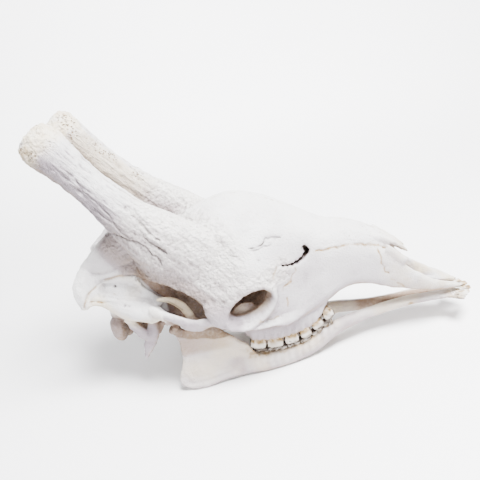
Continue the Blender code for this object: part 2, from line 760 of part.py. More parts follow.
def upper_bones():
    """The parted cranium as a dictionary of bones, with the cheek teeth in the face."""
    cranium = make_cranium()
    cut_sutures(cranium)
    bones = {}
    for piece in sorted(separated(cranium), key=lambda p: len(p.data.vertices)):
        name = name_of(piece)
        if name in bones:
            bpy.data.objects.remove(bones[name], do_unlink=True)
        piece.name = name
        bones[name] = piece
    for side, word in ((-1, "right"), (1, "left")):
        row = cheek_teeth("upper_teeth_" + word, UPPER_TEETH, UPPER_ROW_OUT, side, True)
        fuse(bones["face"], row)
    return bones


def lower_bones():
    bones = {}
    for side, word in ((-1, "right"), (1, "left")):
        jaw = make_jaw("mandible_" + word, side)
        row = cheek_teeth("lower_teeth_" + word, LOWER_TEETH, LOWER_ROW_OUT, side, False)
        fuse(jaw, row)
        fuse(jaw, incisors("incisors_" + word, side))
        bones[jaw.name] = jaw
    return bones


def corners_of(bones):
    return np.array([v.co for obj in bones.values() for v in obj.data.vertices])


def resting_pitch(jaws):
    """How far the nose goes down for the jaw's angles and its body to touch together."""
    points = corners_of(jaws)
    angle = points[points[:, 0] < 180 * MM]
    body = points[(points[:, 0] > 220 * MM) & (points[:, 0] < 340 * MM)]
    low, high = math.radians(-5), math.radians(10)
    for _ in range(40):
        pitch = (low + high) / 2
        drop = np.array([-math.sin(pitch), math.cos(pitch)])
        if (angle[:, [0, 2]] @ drop).min() < (body[:, [0, 2]] @ drop).min():
            low = pitch
        else:
            high = pitch
    return pitch


def lay_down(bones, jaws):
    """Hangs the bones from one empty at rest, with small flats where the jaw touches."""
    turn = Matrix.Rotation(resting_pitch(jaws), 4, "Y")
    points = corners_of(bones) @ np.array(turn.to_3x3()).T
    low, high = points.min(axis=0), points.max(axis=0)
    floor = low[2] + REST_FLAT_DEPTH * MM
    place = Matrix.Translation((-(low[0] + high[0]) / 2, -(low[1] + high[1]) / 2, -floor))
    rest = place @ turn
    for jaw in jaws.values():
        shape = bmesh.new()
        bmesh.ops.create_cube(shape, size=1.0,
                              matrix=rest.inverted() @ Matrix.Translation((0, 0, -0.5)))
        boolean(jaw, make_object("floor", shape), "DIFFERENCE")
        keep_largest(jaw)
    empty = bpy.data.objects.new("skull_at_rest", None)
    bpy.context.scene.collection.objects.link(empty)
    empty.matrix_world = rest
    for obj in bones.values():
        obj.parent = empty


def main():
    clear_scene()
    bones = upper_bones()
    jaws = lower_bones()
    bones.update(jaws)
    lay_down(bones, jaws)
    skull = bone_material("sun_bleached_bone", BLEACHED_BONE, 0.6)
    horn = bone_material("ossicone_bone", HORN_BONE, 0.75)
    jaw = bone_material("jaw_bone", JAW_BONE, 0.55)
    for name, obj in bones.items():
        own = {"ossicone": horn, "mandible": jaw}.get(name.split("_")[0], skull).copy()
        own.name = name
        obj.data.materials.clear()
        obj.data.materials.append(own)
        obj.data.shade_smooth()
        obj.data.set_sharp_from_angle(angle=math.radians(50))
    for spare in (skull, horn, jaw):
        bpy.data.materials.remove(spare)


if __name__ == "__main__":
    main()
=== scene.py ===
"""Sun-bleached giraffe skull with its lower jaw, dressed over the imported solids.

Shapes are worked out in the skull's own frame, in millimetres: X runs forward along the
cheek teeth from the back of the occipital condyles, Y to the animal's left, and Z up from
the chewing line. One turn and one shift lay the finished pieces down at rest.
"""

import math
from contextlib import contextmanager

import bmesh
import bpy
import numpy as np
from bpy.props import (FloatProperty, FloatVectorProperty, IntProperty, PointerProperty,
                       StringProperty)
from mathutils import Matrix, Vector
from mathutils.bvhtree import BVHTree


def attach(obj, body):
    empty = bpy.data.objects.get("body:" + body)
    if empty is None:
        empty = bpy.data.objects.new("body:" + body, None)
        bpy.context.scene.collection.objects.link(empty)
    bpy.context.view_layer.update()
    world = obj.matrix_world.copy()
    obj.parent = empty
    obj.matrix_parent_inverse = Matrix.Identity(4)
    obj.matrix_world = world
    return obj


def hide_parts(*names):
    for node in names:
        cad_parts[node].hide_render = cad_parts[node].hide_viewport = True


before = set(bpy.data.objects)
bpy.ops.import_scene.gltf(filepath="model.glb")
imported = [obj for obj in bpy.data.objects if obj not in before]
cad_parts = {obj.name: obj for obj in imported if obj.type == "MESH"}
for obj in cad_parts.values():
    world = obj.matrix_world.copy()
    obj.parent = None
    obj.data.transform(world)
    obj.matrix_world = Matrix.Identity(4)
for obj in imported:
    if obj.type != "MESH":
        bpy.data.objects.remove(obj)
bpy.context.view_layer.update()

bl_info = {
    "name": "Giraffe skull",
    "version": (1, 0, 0),
    "blender": (4, 5, 0),
    "location": "3D View > Sidebar > Skull",
    "description": "Builds the bones, the teeth and the stage of a museum skull",
    "category": "Object",
}

MM = 0.001
SIDES = ((-1, "right"), (1, "left"))
# How the skull's own frame lies at rest: radians nose down, then millimetres along.
REST_PITCH = 0.0424862
REST_SHIFT = (-297.9416, -0.1028, 77.873)
BODY = "root"
WELD = 0.002 * MM  # how near points of the solids are joined
HOLLOW_ROUNDS = 10  # of smoothing, which set the size of the hollows that take dirt and painted shade

# The horn's middle line on the right side, from its wide root to the knob.
HORN_LINE = ((174, -62, 146), (142, -61, 178), (114, -60, 207), (85, -59, 240),
             (62, -56, 269), (41, -52, 296), (22, -49, 321), (6, -46, 342), (-25, -42, 378))
HORN_AXIS = (-0.62, 0.10, 0.78)
HORN_LEAN = math.radians(53.9)
# Where the solids are sawn apart: a point and the normal of the plane at the horn's root,
# the plane across the roof, half the saw's width, and the lines seen from the side.
HORN_SAW = ((72, -58, 255), (-0.605, 0.121, 0.787))
CORONAL_SAW = 176.0
HALF_SAW = 0.15
NASAL_SAW = (
    (352, 0, 260), (340, 0, 200), (334, 0, 150), (346, 0, 141), (368, 0, 138), (400, 0, 138),
    (421, 0, 137), (441, 0, 132), (462, 0, 122), (480, 0, 107), (498, 0, 95),
)
PREMAXILLA_SAW = ((441, 0, 131.8), (445, 0, 104), (452, 0, 88), (470, 0, 68), (482, 0, 48),
                  (494, 0, 20))

# The cheek teeth: length along the row and width across it, back to front.
UPPER_TEETH = ((27, 22), (27, 23), (24, 22), (21, 21), (21, 19), (20, 16))
LOWER_TEETH = ((34, 14), (25, 15), (23, 15), (21, 14), (21, 12), (18, 10))
TOOTH_ROW = (226.0, 372.0)
CHEWING_LINE = ((222, -17), (248, -22), (282, -23), (310, -20), (335, -12), (358, 2),
                (378, 14))
UPPER_ROW_OUT = ((222, 57), (280, 56), (320, 50), (350, 42), (378, 36))
LOWER_ROW_OUT = ((222, 54), (280, 52), (320, 46), (350, 39), (378, 33))
CROWN_CLEARANCE = 2.6  # from the tip of a crown to the chewing line

# The orbit, as in the solids.
ORBIT_CENTRE = (238.0, -98.0, 84.0)
ORBIT_HALF = (40.0, 25.0)
ORBIT_TILT = math.radians(30.0)
ORBIT_SLANT = 6.0  # how much deeper its front end counts
ORBIT_STRUT = ((232, -44, 76), (236, -62, 60))

# Cracks of the near side: half width, depth, darkness, then the points.
CRACKS = (
    (1.3, 1.5, 0.45, ((56, -75, 232), (72, -83, 227), (82, -86, 219), (94, -89, 217),
     (103, -90, 208), (109, -90, 195), (116, -90, 190), (119, -89, 175))),
    (1.2, 1.4, 0.4, ((93, -82, 258), (103, -84, 248), (108, -86, 238), (113, -88, 229),
     (121, -89, 221), (128, -89, 214))),
    (1.2, 1.4, 0.4, ((104, -89, 226), (112, -90, 214), (121, -90, 205), (129, -91, 195))),
    (1.1, 1.2, 0.3, ((43, -77, 273), (54, -81, 260), (65, -84, 250), (72, -85, 235),
     (84, -87, 222))),
    (1.1, 1.0, 0.25, ((17, -73, 338), (27, -74, 323), (33, -76, 307), (43, -78, 292),
     (53, -81, 276), (64, -83, 260), (71, -85, 239))),
    (1.2, 1.2, 0.5, ((250, -80, 177), (259, -77, 176), (269, -73, 178), (278, -66, 183),
     (286, -63, 182), (301, -59, 176))),
    (1.0, 0.9, 0.35, ((253, -80, 174), (263, -78, 173), (273, -73, 175), (284, -69, 172))),
    (1.0, 0.9, 0.35, ((218, -83, 175), (220, -84, 173), (226, -85, 171), (231, -86, 169))),
)
# The gap that stands open between two of them.
SLIT = ((121, -90, 205), (131, -91, 194))

# Sutures that both sides share, given on the right.
SUTURES = (
    (1.2, 1.0, 0.75, ((317, -64, 127), (314, -67, 119), (310, -69, 117), (307, -72, 107),
     (295, -79, 104), (292, -81, 94))),
    (1.1, 0.8, 0.5, ((298, -78, 84), (296, -78, 63))),
    (1.2, 0.9, 0.5, ((286, -79, 141), (285, -81, 136), (283, -84, 130), (279, -88, 123))),
    (1.4, 1.0, 0.4, ((243, -102, 55), (251, -101, 59), (264, -91, 54), (280, -85, 53))),
    (1.2, 0.7, 0.25, ((188, 0, 232), (226, 0, 241), (276, 0, 229), (325, 0, 202))),
    (1.1, 0.8, 0.5, ((-20, -65, 118), (-5, -58, 116), (14, -58, 109), (30, -61, 104))),
    (1.0, 0.8, 0.4, ((24, -52, 134), (27, -55, 124), (33, -58, 114), (34, -60, 106))),
    (1.3, 1.1, 0.85, ((340, -52, 143), (349, -49, 140), (362, -47, 140), (374, -44, 138),
     (389, -42, 138), (401, -39, 138), (415, -37, 137), (428, -35, 134), (442, -33, 130),
     (456, -31, 124), (468, -29, 118))),
    (1.2, 1.0, 0.8, ((449, -33, 127), (455, -35, 117), (458, -38, 104), (460, -39, 92),
     (465, -39, 79), (474, -38, 65), (486, -36, 53), (496, -35, 42), (500, -33, 28))),
    (1.1, 0.7, 0.3, ((352, 0, 190), (400, 0, 170), (440, 0, 155), (480, 0, 130), (500, 0, 114))),
)
# The crescent vacuity's outer and inner rim as (x, z), and the line between them.
VACUITY_OUTER = (
    (333, 156), (339, 152), (343, 146), (341, 140), (336, 136), (330, 132.5), (325, 131.5),
    (321, 128.5), (316, 130.5), (312, 128), (308, 131.5), (304, 130.5), (300, 133), (297, 132),
    (293, 137),
)
VACUITY_INNER = (
    (296, 138.5), (299, 136), (303, 136.5), (306, 134), (310, 135.5), (314, 133.5), (318, 136.5),
    (321, 134.5), (325, 138.5), (328, 138), (331, 143), (334, 146), (331, 149), (334, 151.5),
    (330, 153),
)
VACUITY_LINE = ((335, 0, 149), (337, 0, 146), (334, 0, 139), (325, 0, 134), (316, 0, 131.5),
                (307, 0, 134), (299, 0, 137))

# The rim of the braincase's side wall, and where that wall turns down under the eave.
PLATE_RIM = ((-21, -66, 110), (-17, -64, 121), (-12, -60, 129), (0, -51, 137), (17, -50, 145),
             (45, -59, 153), (70, -65, 152))
PLATE_END = ((70, -65, 152), (73, -58, 134), (82, -54, 118), (93, -52, 104), (102, -48, 94))
SQUAMOUS_EDGE = ((-3, -58, 112), (12, -61, 99), (24, -64, 86), (38, -64, 77), (58, -62, 70),
                 (80, -78, 74), (96, -90, 78))
# The deep channel under the roof's eave, and the swelling of the braincase below it.
EAVE_CHANNEL = ((60, -60, 150), (74, -61, 146), (86, -60, 135), (98, -54, 120),
                (110, -50, 107), (119, -46, 95), (132, -48, 87))
# The window under the eave as (x, z), at the outside and again at the wall inside it.
WINDOW_OUT = (
    (87, 176), (102, 170), (123, 157), (148, 140), (162, 126), (170, 112), (172, 99), (148, 97),
    (126, 103), (112, 112), (105, 124), (116, 132), (109, 140), (99, 152), (90, 163),
)
WINDOW_IN = (
    (67, 140), (83, 133), (107, 119), (134, 100), (150, 85), (158, 70), (161, 55), (134, 52),
    (110, 59), (94, 69), (87, 82), (99, 92), (91, 101), (79, 113), (69, 125),
)
# What lies under the cheek's edge, outside the wall over the teeth, in the same way.
CHEEK_OUT = ((186, 68), (194, 66), (206, 62), (219, 58), (233, 58), (252, 58), (272, 60),
             (287, 58), (299, 48), (306, 33), (186, 33))
CHEEK_IN = ((181, 39), (189, 36), (201, 30), (215, 27), (230, 27), (250, 27), (272, 29),
            (287, 27), (299, 17), (306, 9), (181, 9))
# Painted shadow along these lines: under the horn's root and the brow, and on the postorbital
# bar.
SHADOW_LINE = ((34, -52, 214), (42, -50, 196), (54, -52, 178), (70, -62, 162), (90, -71, 151),
               (111, -78, 141), (131, -84, 131), (150, -90, 119), (164, -96, 106))
BAR_LINE = ((170, -104, 104), (178, -108, 90), (196, -109, 82), (208, -106, 68))
# The ridge on that side wall, then the middle and the half size of its swelling.
PLATE_RIDGE = ((-4, -57, 120), (8, -55, 115), (23, -57, 112), (35, -60, 108), (49, -64, 102))
SQUAMOUS_MIDDLE = (40.0, 107.0)
SQUAMOUS_HALF = (46.0, 23.0)
# The furrow along the zygomatic arch, and what is cut away below the arch, the outer corner
# of the occiput and the side wall.
ARCH_LINE = ((96, -90, 79), (111, -95, 74), (127, -97, 68), (143, -98, 64), (162, -100, 61),
             (184, -104, 60))
ARCH_BELOW = (
    (98, 86), (104, 84), (112, 80.5), (122, 71.5), (133, 62), (146, 57), (158, 57), (170, 60),
    (181, 61), (194, 54), (203, 48), (222, 41), (222, 10), (100, 10),
)
NUCHAL_BELOW = ((-45, 106), (-22, 106), (-16, 110), (-9, 111.5), (2, 109), (9, 105), (9, -30),
                (-45, -30))
MASTOID_BELOW = ((2, 110), (8, 106), (17, 98.5), (28, 86.5), (38, 78), (52, 71.5), (68, 67),
                 (80, 66), (100, 72), (100, -20), (2, -20))
# What is cut away from the side: for the outer and the inner end of each cut, how far out
# it is, how much higher its loop is there, and the loop.
SIDE_CUTS = (
    # the crescent vacuity in front of the orbit
    ((82.0, 0.0, VACUITY_OUTER + VACUITY_INNER), (32.0, 0.0, VACUITY_OUTER + VACUITY_INNER)),
    # what lies below the arch, so that the ramus shows under it
    ((118, 9.0, ARCH_BELOW), (81, -8.0, ARCH_BELOW)),
    # what lies below the braincase's side wall and below the occiput's outer corner
    ((100, 18.0, MASTOID_BELOW), (47, -8.0, MASTOID_BELOW)),
    ((100, 18.0, NUCHAL_BELOW), (30, -16.0, NUCHAL_BELOW)),
    # the window between the eave, the braincase and the arch, and the step under the cheek
    ((116, 0.0, WINDOW_OUT), (47, 0.0, WINDOW_IN)),
    ((118, 0.0, CHEEK_OUT), (73, 0.0, CHEEK_IN)),
)
# Forms finer than the solids', as (x, y, z, half across, half up) along each; on the jaw
# the hooked coronoid process and the top of the condyle.
CRANIUM_LIMBS = (
    # the web from the horn's root down to the nuchal crest
    ((88, -50, 208, 15, 36), (66, -47, 198, 14, 34), (46, -44, 186, 14, 32),
     (30, -42, 177, 14, 29), (12, -40, 170, 13, 22), (-6, -36, 166, 10, 12),
     (-18, -34, 162, 7, 6)),
    # the nostril's rear corner, the join between the nasals, the pale wall in the orbit
    ((466, -30, 116, 5, 10), (478, -31, 106, 5, 9), (488, -31, 97, 4.5, 8),
     (500, -31, 87, 4, 7)),
    ((455, -6, 141, 8, 6), (472, -6, 128, 9, 6), (486, -6, 117, 8, 6), (498, -6, 106, 7, 5),
     (504, -5, 100, 6, 4)),
    ((212, -74, 50, 3.5, 9), (217, -73, 61, 3.5, 14), (226, -72, 68, 3.5, 13),
     (236, -71, 72, 3, 9), (243, -70, 74, 2.5, 3)),
    # the wall inside the fossa
    ((112, -44, 86, 4, 26), (150, -41, 72, 4, 32), (190, -42, 62, 4, 30),
     (222, -48, 60, 4, 24)),
    # the zygomatic arch
    ((84, -80, 90, 5, 11), (98, -89, 92, 5, 8), (108, -93, 89, 4.5, 7), (120, -95, 83, 4, 7.5),
     (134, -96, 73, 4, 10), (150, -97, 67, 4, 9.5), (166, -98, 69, 4.5, 9),
     (184, -101, 72, 6, 8), (200, -102, 67, 7, 8)),
    # the occipital condyle, then the two rough prongs of the paroccipital process
    ((10, -36, 22, 4, 5), (11, -37, 28, 10, 10), (12, -38, 37, 14, 13.5),
     (13, -38, 48, 16, 15), (14, -38, 59, 15, 15), (15, -38, 67, 10, 11), (16, -38, 72, 4, 5)),
    ((38, -56, 74, 8, 9), (44, -60, 62, 8, 9), (52, -62, 50, 7, 9), (58, -63, 38, 6, 7),
     (61, -62, 31, 4, 4)),
    ((76, -54, 66, 8, 9), (74, -57, 52, 8, 10), (70, -59, 40, 8, 11), (64, -60, 27, 6.5, 11),
     (57, -61, 13, 5, 8), (51, -62, 2, 3.5, 5), (49, -62, -6, 2.5, 2.5)))
JAW_LIMBS = (
    ((156, -70, 46, 3.5, 14), (141, -70, 62, 3.5, 8.5), (137, -69, 74, 3.5, 7.5),
     (131, -68, 87, 3.3, 7.5), (122, -67, 97, 3, 7), (110, -66, 103, 2.8, 5.5),
     (99, -66, 105, 2.4, 4), (92, -66, 105, 2, 2.5)),
    ((113, -84, 56, 4, 5), (113, -76, 60, 5, 6), (113, -62, 58, 6, 6)),
)
# What the solid jaw has above and ahead of the slender coronoid process.
CORONOID_ABOVE = ((98, 110), (110, 106), (121, 101), (130, 93), (136, 82), (140, 70), (144, 54),
                  (190, 50), (190, 130), (98, 130))
CORONOID_CUT = ((95, 0.0, CORONOID_ABOVE), (45, 0.0, CORONOID_ABOVE))
# A dark line painted under the coronoid's rim, as the shade in a groove that is not carved.
CORONOID_SHADE_LINE = ((98, -70, 103), (110, -70, 101), (121, -70, 94), (129, -71, 84))
# Painted shadow of the arch on the ramus, above this line.
RAMUS_SHADE = ((108, 41), (117, 38), (132, 31), (156, 28), (172, 22), (197, 23), (215, 28))
# Where muscle held fast: the crest on the cheek and the edge of the brow; a patch of painted
# shade on the ramus as a middle and three half sizes, and the lines raised round it.
FACIAL_CREST = ((206, -104, 58), (224, -105, 52), (250, -102, 45), (278, -92, 38),
                (298, -82, 38), (318, -70, 42))
BROW_LINE = ((60, -66, 160), (100, -80, 150), (135, -88, 135), (165, -98, 116),
             (205, -105, 116), (242, -104, 124), (272, -93, 126), (296, -76, 132))
MASSETER_SHADE = (158, -80, 18, 24, 30, 15)
MASSETER_LINES = (
    ((142, -79, 34), (150, -77, 0), (161, -77, -24), (182, -75, -38)),
    ((112, -80, -36), (123, -81, -54), (151, -80, -54), (186, -76, -44)),
    ((126, -78, 30), (132, -78, 0), (140, -78, -34)),
)
# Small holes for vessels and nerves: radius, depth and place.
FORAMINA = ((2.2, 3.0, (42, -65, 102)), (1.8, 2.5, (48, -66, 100)), (2.4, 3.0, (31, -51, 133)),
            (2.0, 2.5, (88, -78, 269)), (1.8, 2.0, (262, -86, 158)), (1.6, 2.0, (208, -92, 164)))
JAW_FORAMINA = ((3.4, 4.0, (514, -19, -7)), (2.2, 2.5, (566, -23, -2)),
                (2.6, 3.0, (238, -66, -5)), (1.8, 2.0, (246, -66, -11)))

# How the open sky is felt out for the painted shade: the number of rays and how they are spread.
SKY_RAYS = 18
GOLDEN_TURN = 2.39996  # radians, which spreads the rays evenly
LOWEST_RAY = 0.12  # upward part of the flattest ray's heading
RAY_SPAN = 0.86  # from there up to the steepest
RAY_LIFT = 0.8 * MM
RAY_REACH = 0.5  # metres
# The space round the solid's own front teeth, as (y, z) and as the reach along x.
INCISOR_SPACE = ((-40, -30), (40, -30), (40, 40), (-40, 40))
INCISOR_REACH = (601, 680)


# Patterns on points, all sizes in millimetres


def ease(value, low, high):
    """0 at low and 1 at high, with a soft start and end; low may be the larger."""
    part = np.clip((value - low) / (high - low), 0, 1)
    return part * part * (3 - 2 * part)


def bell(value, width):
    """1 where the value is 0, falling away on both sides over this width."""
    return np.exp(-(value / width) ** 2)


def lumps(points, size, seed=0):
    """Smooth noise from -1 to 1, whose lumps are about this size."""
    place = points / size + 31.7 * (seed + 1)
    cell = np.floor(place).astype(np.int64)
    part = place - cell
    part = part * part * (3 - 2 * part)
    total = np.zeros(len(points))
    for corner in range(8):
        step = np.array((corner & 1, corner >> 1 & 1, corner >> 2 & 1))
        # A number scrambled out of the cell's place stands in for a random one.
        key = (cell + step) @ np.array((73856093, 19349663, 83492791)) + 7919 * seed
        key = (key ^ key >> 13) & 0x7FFFFFFF
        key = key * 1274126177
        key = (key ^ key >> 19) & 0xFFFF
        weight = np.prod(np.where(step, part, 1 - part), axis=1)
        total += weight * (key / 32767.5 - 1)
    return total


def rough(points, size, octaves, seed=0):
    """Layered noise: each layer is half the size and half the height of the last."""
    total = np.zeros(len(points))
    for k in range(octaves):
        total += lumps(points, size / 2**k, seed + k) / 2**k
    return total


def blots(points, size, octaves, seed, low, high):
    """Layered noise cut down to blots: 0 below low and 1 above high."""
    return ease(rough(points, size, octaves, seed), low, high)


def worms(points, size, width, seed=0):
    """1 on thin winding lines, as the grooves that small vessels leave on bone."""
    return bell(lumps(points, size, seed), width)


def warp(points, size, reach, seed):
    """The points pushed about, so that lines drawn through them waver."""
    push = [lumps(points, size, seed + k) for k in range(3)]
    return points + reach * np.column_stack(push)


def to_line(points, line, reach):
    """Distance from a bent line and the share of its length, for points within reach."""
    line = np.array(line, float)
    away = np.full(len(points), 1000.0)
    share = np.zeros(len(points))
    near = np.all((points > line.min(0) - reach) & (points < line.max(0) + reach), axis=1)
    some = points[near]
    best = np.full(len(some), 1000.0)
    at = np.zeros(len(some))
    lengths = np.linalg.norm(np.diff(line, axis=0), axis=1)
    starts = np.concatenate(([0], np.cumsum(lengths)))
    for start, end, length, before in zip(line, line[1:], lengths, starts):
        part = np.clip((some - start) @ (end - start) / length**2, 0, 1)
        gap = np.linalg.norm(some - start - part[:, None] * (end - start), axis=1)
        closer = gap < best
        best[closer] = gap[closer]
        at[closer] = (before + part[closer] * length) / starts[-1]
    away[near] = best
    share[near] = at
    return away, share


def off_line(points, line, reach, *waver):
    """Distance from a bent line; waver is the size, reach and seed of its wandering."""
    return to_line(warp(points, *waver) if waver else points, line, reach)[0]


def groove(points, line, half_width, seed, waver=1.6):
    """1 along a wavering line that thins out at both ends."""
    away, share = to_line(warp(points, 7.0, waver, seed), line, 6 * half_width)
    ends = ease(share, -0.02, 0.12) * ease(share, 1.02, 0.88)
    width = half_width * (0.45 + 0.55 * ends) * (1 + 0.35 * lumps(points, 5.0, seed + 5))
    return bell(away, width)


def fold(points):
    """The same points with the left side laid on the right."""
    return np.column_stack((points[:, 0], -np.abs(points[:, 1]), points[:, 2]))


def facing_in(points, normals):
    """How squarely each point faces the animal's middle, from -1 to 1."""
    return normals[:, 1] * np.sign(-points[:, 1])


def along_horn(points, stretch):
    """Points squeezed along the horns, so that noise on them runs as fibres."""
    axis = np.tile(HORN_AXIS, (len(points), 1))
    axis[:, 1] *= -np.sign(points[:, 1])
    reach = np.sum(points * axis, axis=1)
    return points - axis * reach[:, None] * (1 - 1 / stretch)


def along_line(line, x):
    """The values of a long line at each x."""
    table = np.array(line, float)
    return np.interp(x, table[:, 0], table[:, 1])


def orbit_place(points):
    """How far out of the orbit's ellipse each point is, 1 on its edge, and its depth."""
    c, s = math.cos(ORBIT_TILT), math.sin(ORBIT_TILT)
    dx = points[:, 0] - ORBIT_CENTRE[0]
    dz = points[:, 2] - ORBIT_CENTRE[2]
    u = (dx * c + dz * s) / ORBIT_HALF[0]
    v = (-dx * s + dz * c) / ORBIT_HALF[1]
    depth = -ORBIT_CENTRE[1] - np.abs(points[:, 1]) + ORBIT_SLANT * u
    return np.hypot(u, v), depth


def orbit_rim(points):
    """The raised lip round the lower half of the orbit, less the furrow outside it."""
    out, depth = orbit_place(points)
    lower = ease(points[:, 2] - 0.45 * points[:, 0], -16, -30) * ease(depth, 45, 30)
    return lower * (bell(out - 1.1, 0.06) - bell(out - 1.27, 0.05))


def margin_height(x, upper):
    """Height of the bone's edge at the necks of the cheek teeth."""
    sizes = bpy.context.scene.skull_teeth
    crown = sizes.upper_crown if upper else sizes.lower_crown
    return along_line(CHEWING_LINE, x) + (1 if upper else -1) * (CROWN_CLEARANCE + crown / MM)


# Meshes


def at_rest():
    """From the skull's own frame to the place where it rests."""
    shift = Matrix.Translation(Vector(REST_SHIFT) * MM)
    return shift @ Matrix.Rotation(REST_PITCH, 4, "Y")


def read_rows(items, key, width, kind=np.float32):
    """A row of values for each vertex, edge or triangle."""
    stored = np.empty(len(items) * width, kind)
    items.foreach_get(key, stored)
    return stored.reshape(-1, width)


def read_points(mesh):
    """The mesh's points in the skull's own frame, in millimetres."""
    stored = read_rows(mesh.vertices, "co", 3).astype(float)
    return (stored / MM - REST_SHIFT) @ np.array(at_rest().to_3x3())


def write_points(mesh, points):
    turn = np.array(at_rest().to_3x3())
    stored = (points @ turn.T + REST_SHIFT) * MM
    mesh.vertices.foreach_set("co", stored.astype(np.float32).ravel())
    mesh.update()


def read_normals(mesh):
    stored = read_rows(mesh.vertex_normals, "vector", 3).astype(float)
    return stored @ np.array(at_rest().to_3x3())


def read_edges(mesh):
    return read_rows(mesh.edges, "vertices", 2, np.int32)


def neighbours_mean(values, edges):
    """For each point, the mean of its neighbours' values."""
    count = len(values)
    first, second = edges[:, 0], edges[:, 1]
    degree = np.bincount(first, minlength=count) + np.bincount(second, minlength=count)
    mean = np.empty_like(values)
    for k in range(values.shape[1]):
        mean[:, k] = np.bincount(first, values[second, k], count)
        mean[:, k] += np.bincount(second, values[first, k], count)
    return mean / np.maximum(degree, 1)[:, None]


def relax(points, edges, rounds, push=-0.53):
    """Smooths away the facets and keeps the bulk; with push 0 it also shrinks."""
    for _ in range(rounds):
        points = points + 0.5 * (neighbours_mean(points, edges) - points)
        if push:
            points = points + push * (neighbours_mean(points, edges) - points)
    return points


def hollow_of(points, normals, edges, rounds):
    """How far below its surroundings each point lies, in millimetres."""
    level = relax(points, edges, rounds, push=0)
    return np.sum((level - points) * normals, axis=1)


def sky_share(obj, normals, edges, roof=()):
    """How much open sky each point sees, which sets the painted shade: 1 on an open top,
    about a half on an upright side, and 0 under an eave or inside a hollow."""
    trees = []
    for mesh in (*[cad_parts[node].data for node in roof], obj.data):
        mesh.calc_loop_triangles()
        corners = read_rows(mesh.loop_triangles, "vertices", 3, np.int32)
        places = read_rows(mesh.vertices, "co", 3).astype(float)
        trees.append(BVHTree.FromPolygons(places.tolist(), corners.tolist(),
                                          all_triangles=True))
    out = normals @ np.array(at_rest().to_3x3()).T
    starts = [Vector(p) for p in places + out * RAY_LIFT]
    total = np.zeros(len(places))
    for k in range(SKY_RAYS):
        up = LOWEST_RAY + RAY_SPAN * (k + 0.5) / SKY_RAYS
        turn = k * GOLDEN_TURN
        level = math.sqrt(1 - up * up)
        toward = np.array((level * math.cos(turn), level * math.sin(turn), up))
        slant = out @ toward
        ray = Vector(toward)
        for i in np.nonzero(slant > 0.02)[0]:
            if all(tree.ray_cast(starts[i], ray, RAY_REACH)[0] is None for tree in trees):
                total[i] += slant[i]
    share = (total / (0.55 * SKY_RAYS))[:, None]
    for _ in range(5):
        share = 0.5 * share + 0.5 * neighbours_mean(share, edges)
    return share[:, 0]


def new_object(name, data):
    obj = bpy.data.objects.new(name, data)
    bpy.context.scene.collection.objects.link(obj)
    return obj


@contextmanager
def editing(mesh):
    """The mesh as a shape to be changed, which is stored again at the end."""
    shape = bmesh.new()
    shape.from_mesh(mesh)
    yield shape
    shape.to_mesh(mesh)
    shape.free()


def object_of(shape, name):
    """Puts a drawn shape into the scene."""
    mesh = bpy.data.meshes.new(name)
    shape.to_mesh(mesh)
    shape.free()
    return new_object(name, mesh)


def settle(obj):
    """Turns the object's modifiers into its own mesh."""
    bpy.context.view_layer.update()
    graph = bpy.context.evaluated_depsgraph_get()
    old = obj.data
    obj.data = bpy.data.meshes.new_from_object(obj.evaluated_get(graph))
    obj.modifiers.clear()
    bpy.data.meshes.remove(old)
    obj.data.name = obj.name


def change(obj, kind, **settings):
    """Gives the object one modifier with these settings and turns it into the mesh."""
    modifier = obj.modifiers.new(kind.lower(), kind)
    for name, value in settings.items():
        setattr(modifier, name, value)
    settle(obj)


def copy_of(name, nodes):
    """One merged copy of these solids."""
    shape = bmesh.new()
    for node in nodes:
        shape.from_mesh(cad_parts[node].data)
    bmesh.ops.remove_doubles(shape, verts=shape.verts, dist=WELD)
    return object_of(shape, name)


def join_rows(shape, rows):
    """Faces from each ring of vertices to the next."""
    return [shape.faces.new((low[i], low[(i + 1) % len(low)], high[(i + 1) % len(low)], high[i]))
            for low, high in zip(rows, rows[1:]) for i in range(len(low))]


def add_skin(shape, rings):
    """Joins rings of points, in skull millimetres, into one closed tube."""
    rows = [[shape.verts.new(Vector(p) * MM) for p in ring] for ring in rings]
    faces = join_rows(shape, rows)
    faces += [shape.faces.new(rows[0][::-1]), shape.faces.new(rows[-1])]
    bmesh.ops.recalc_face_normals(shape, faces=faces)


def limb_rings(path, sides=14):
    """Oval rings along a smooth path of (x, y, z, half across, half up) points."""
    path = np.array(path, float)
    reach = np.concatenate(([0], np.cumsum(np.linalg.norm(np.diff(path[:, :3], axis=0),
                                                          axis=1))))
    spots = np.linspace(0, reach[-1], 4 * len(path))
    fine = np.column_stack([np.interp(spots, reach, path[:, k]) for k in range(5)])
    for _ in range(2):
        fine[1:-1] = (fine[:-2] + 2 * fine[1:-1] + fine[2:]) / 4
    rings = []
    for i, (x, y, z, across, up) in enumerate(fine):
        ahead = fine[min(i + 1, len(fine) - 1), :3] - fine[max(i - 1, 0), :3]
        ahead /= np.linalg.norm(ahead)
        out = np.cross(ahead, (0, 0, 1) if abs(ahead[2]) < 0.9 else (1, 0, 0))
        out /= np.linalg.norm(out)
        rise = np.cross(out, ahead)
        turns = np.linspace(0, 2 * math.pi, sides, endpoint=False)
        rings.append([np.array((x, y, z)) + out * (across * math.cos(t))
                      + rise * (up * math.sin(t)) for t in turns])
    return rings


def mirrored(path, side):
    """A limb with its y taken to one side or the other."""
    return [(x, side * y, *rest) for x, y, *rest in path]


def grow(obj, limbs):
    """Adds closed limbs for the skin to run over."""
    shape = bmesh.new()
    for path in limbs:
        add_skin(shape, limb_rings(path))
    shape.transform(at_rest())
    shape.from_mesh(obj.data)
    shape.to_mesh(obj.data)
    shape.free()


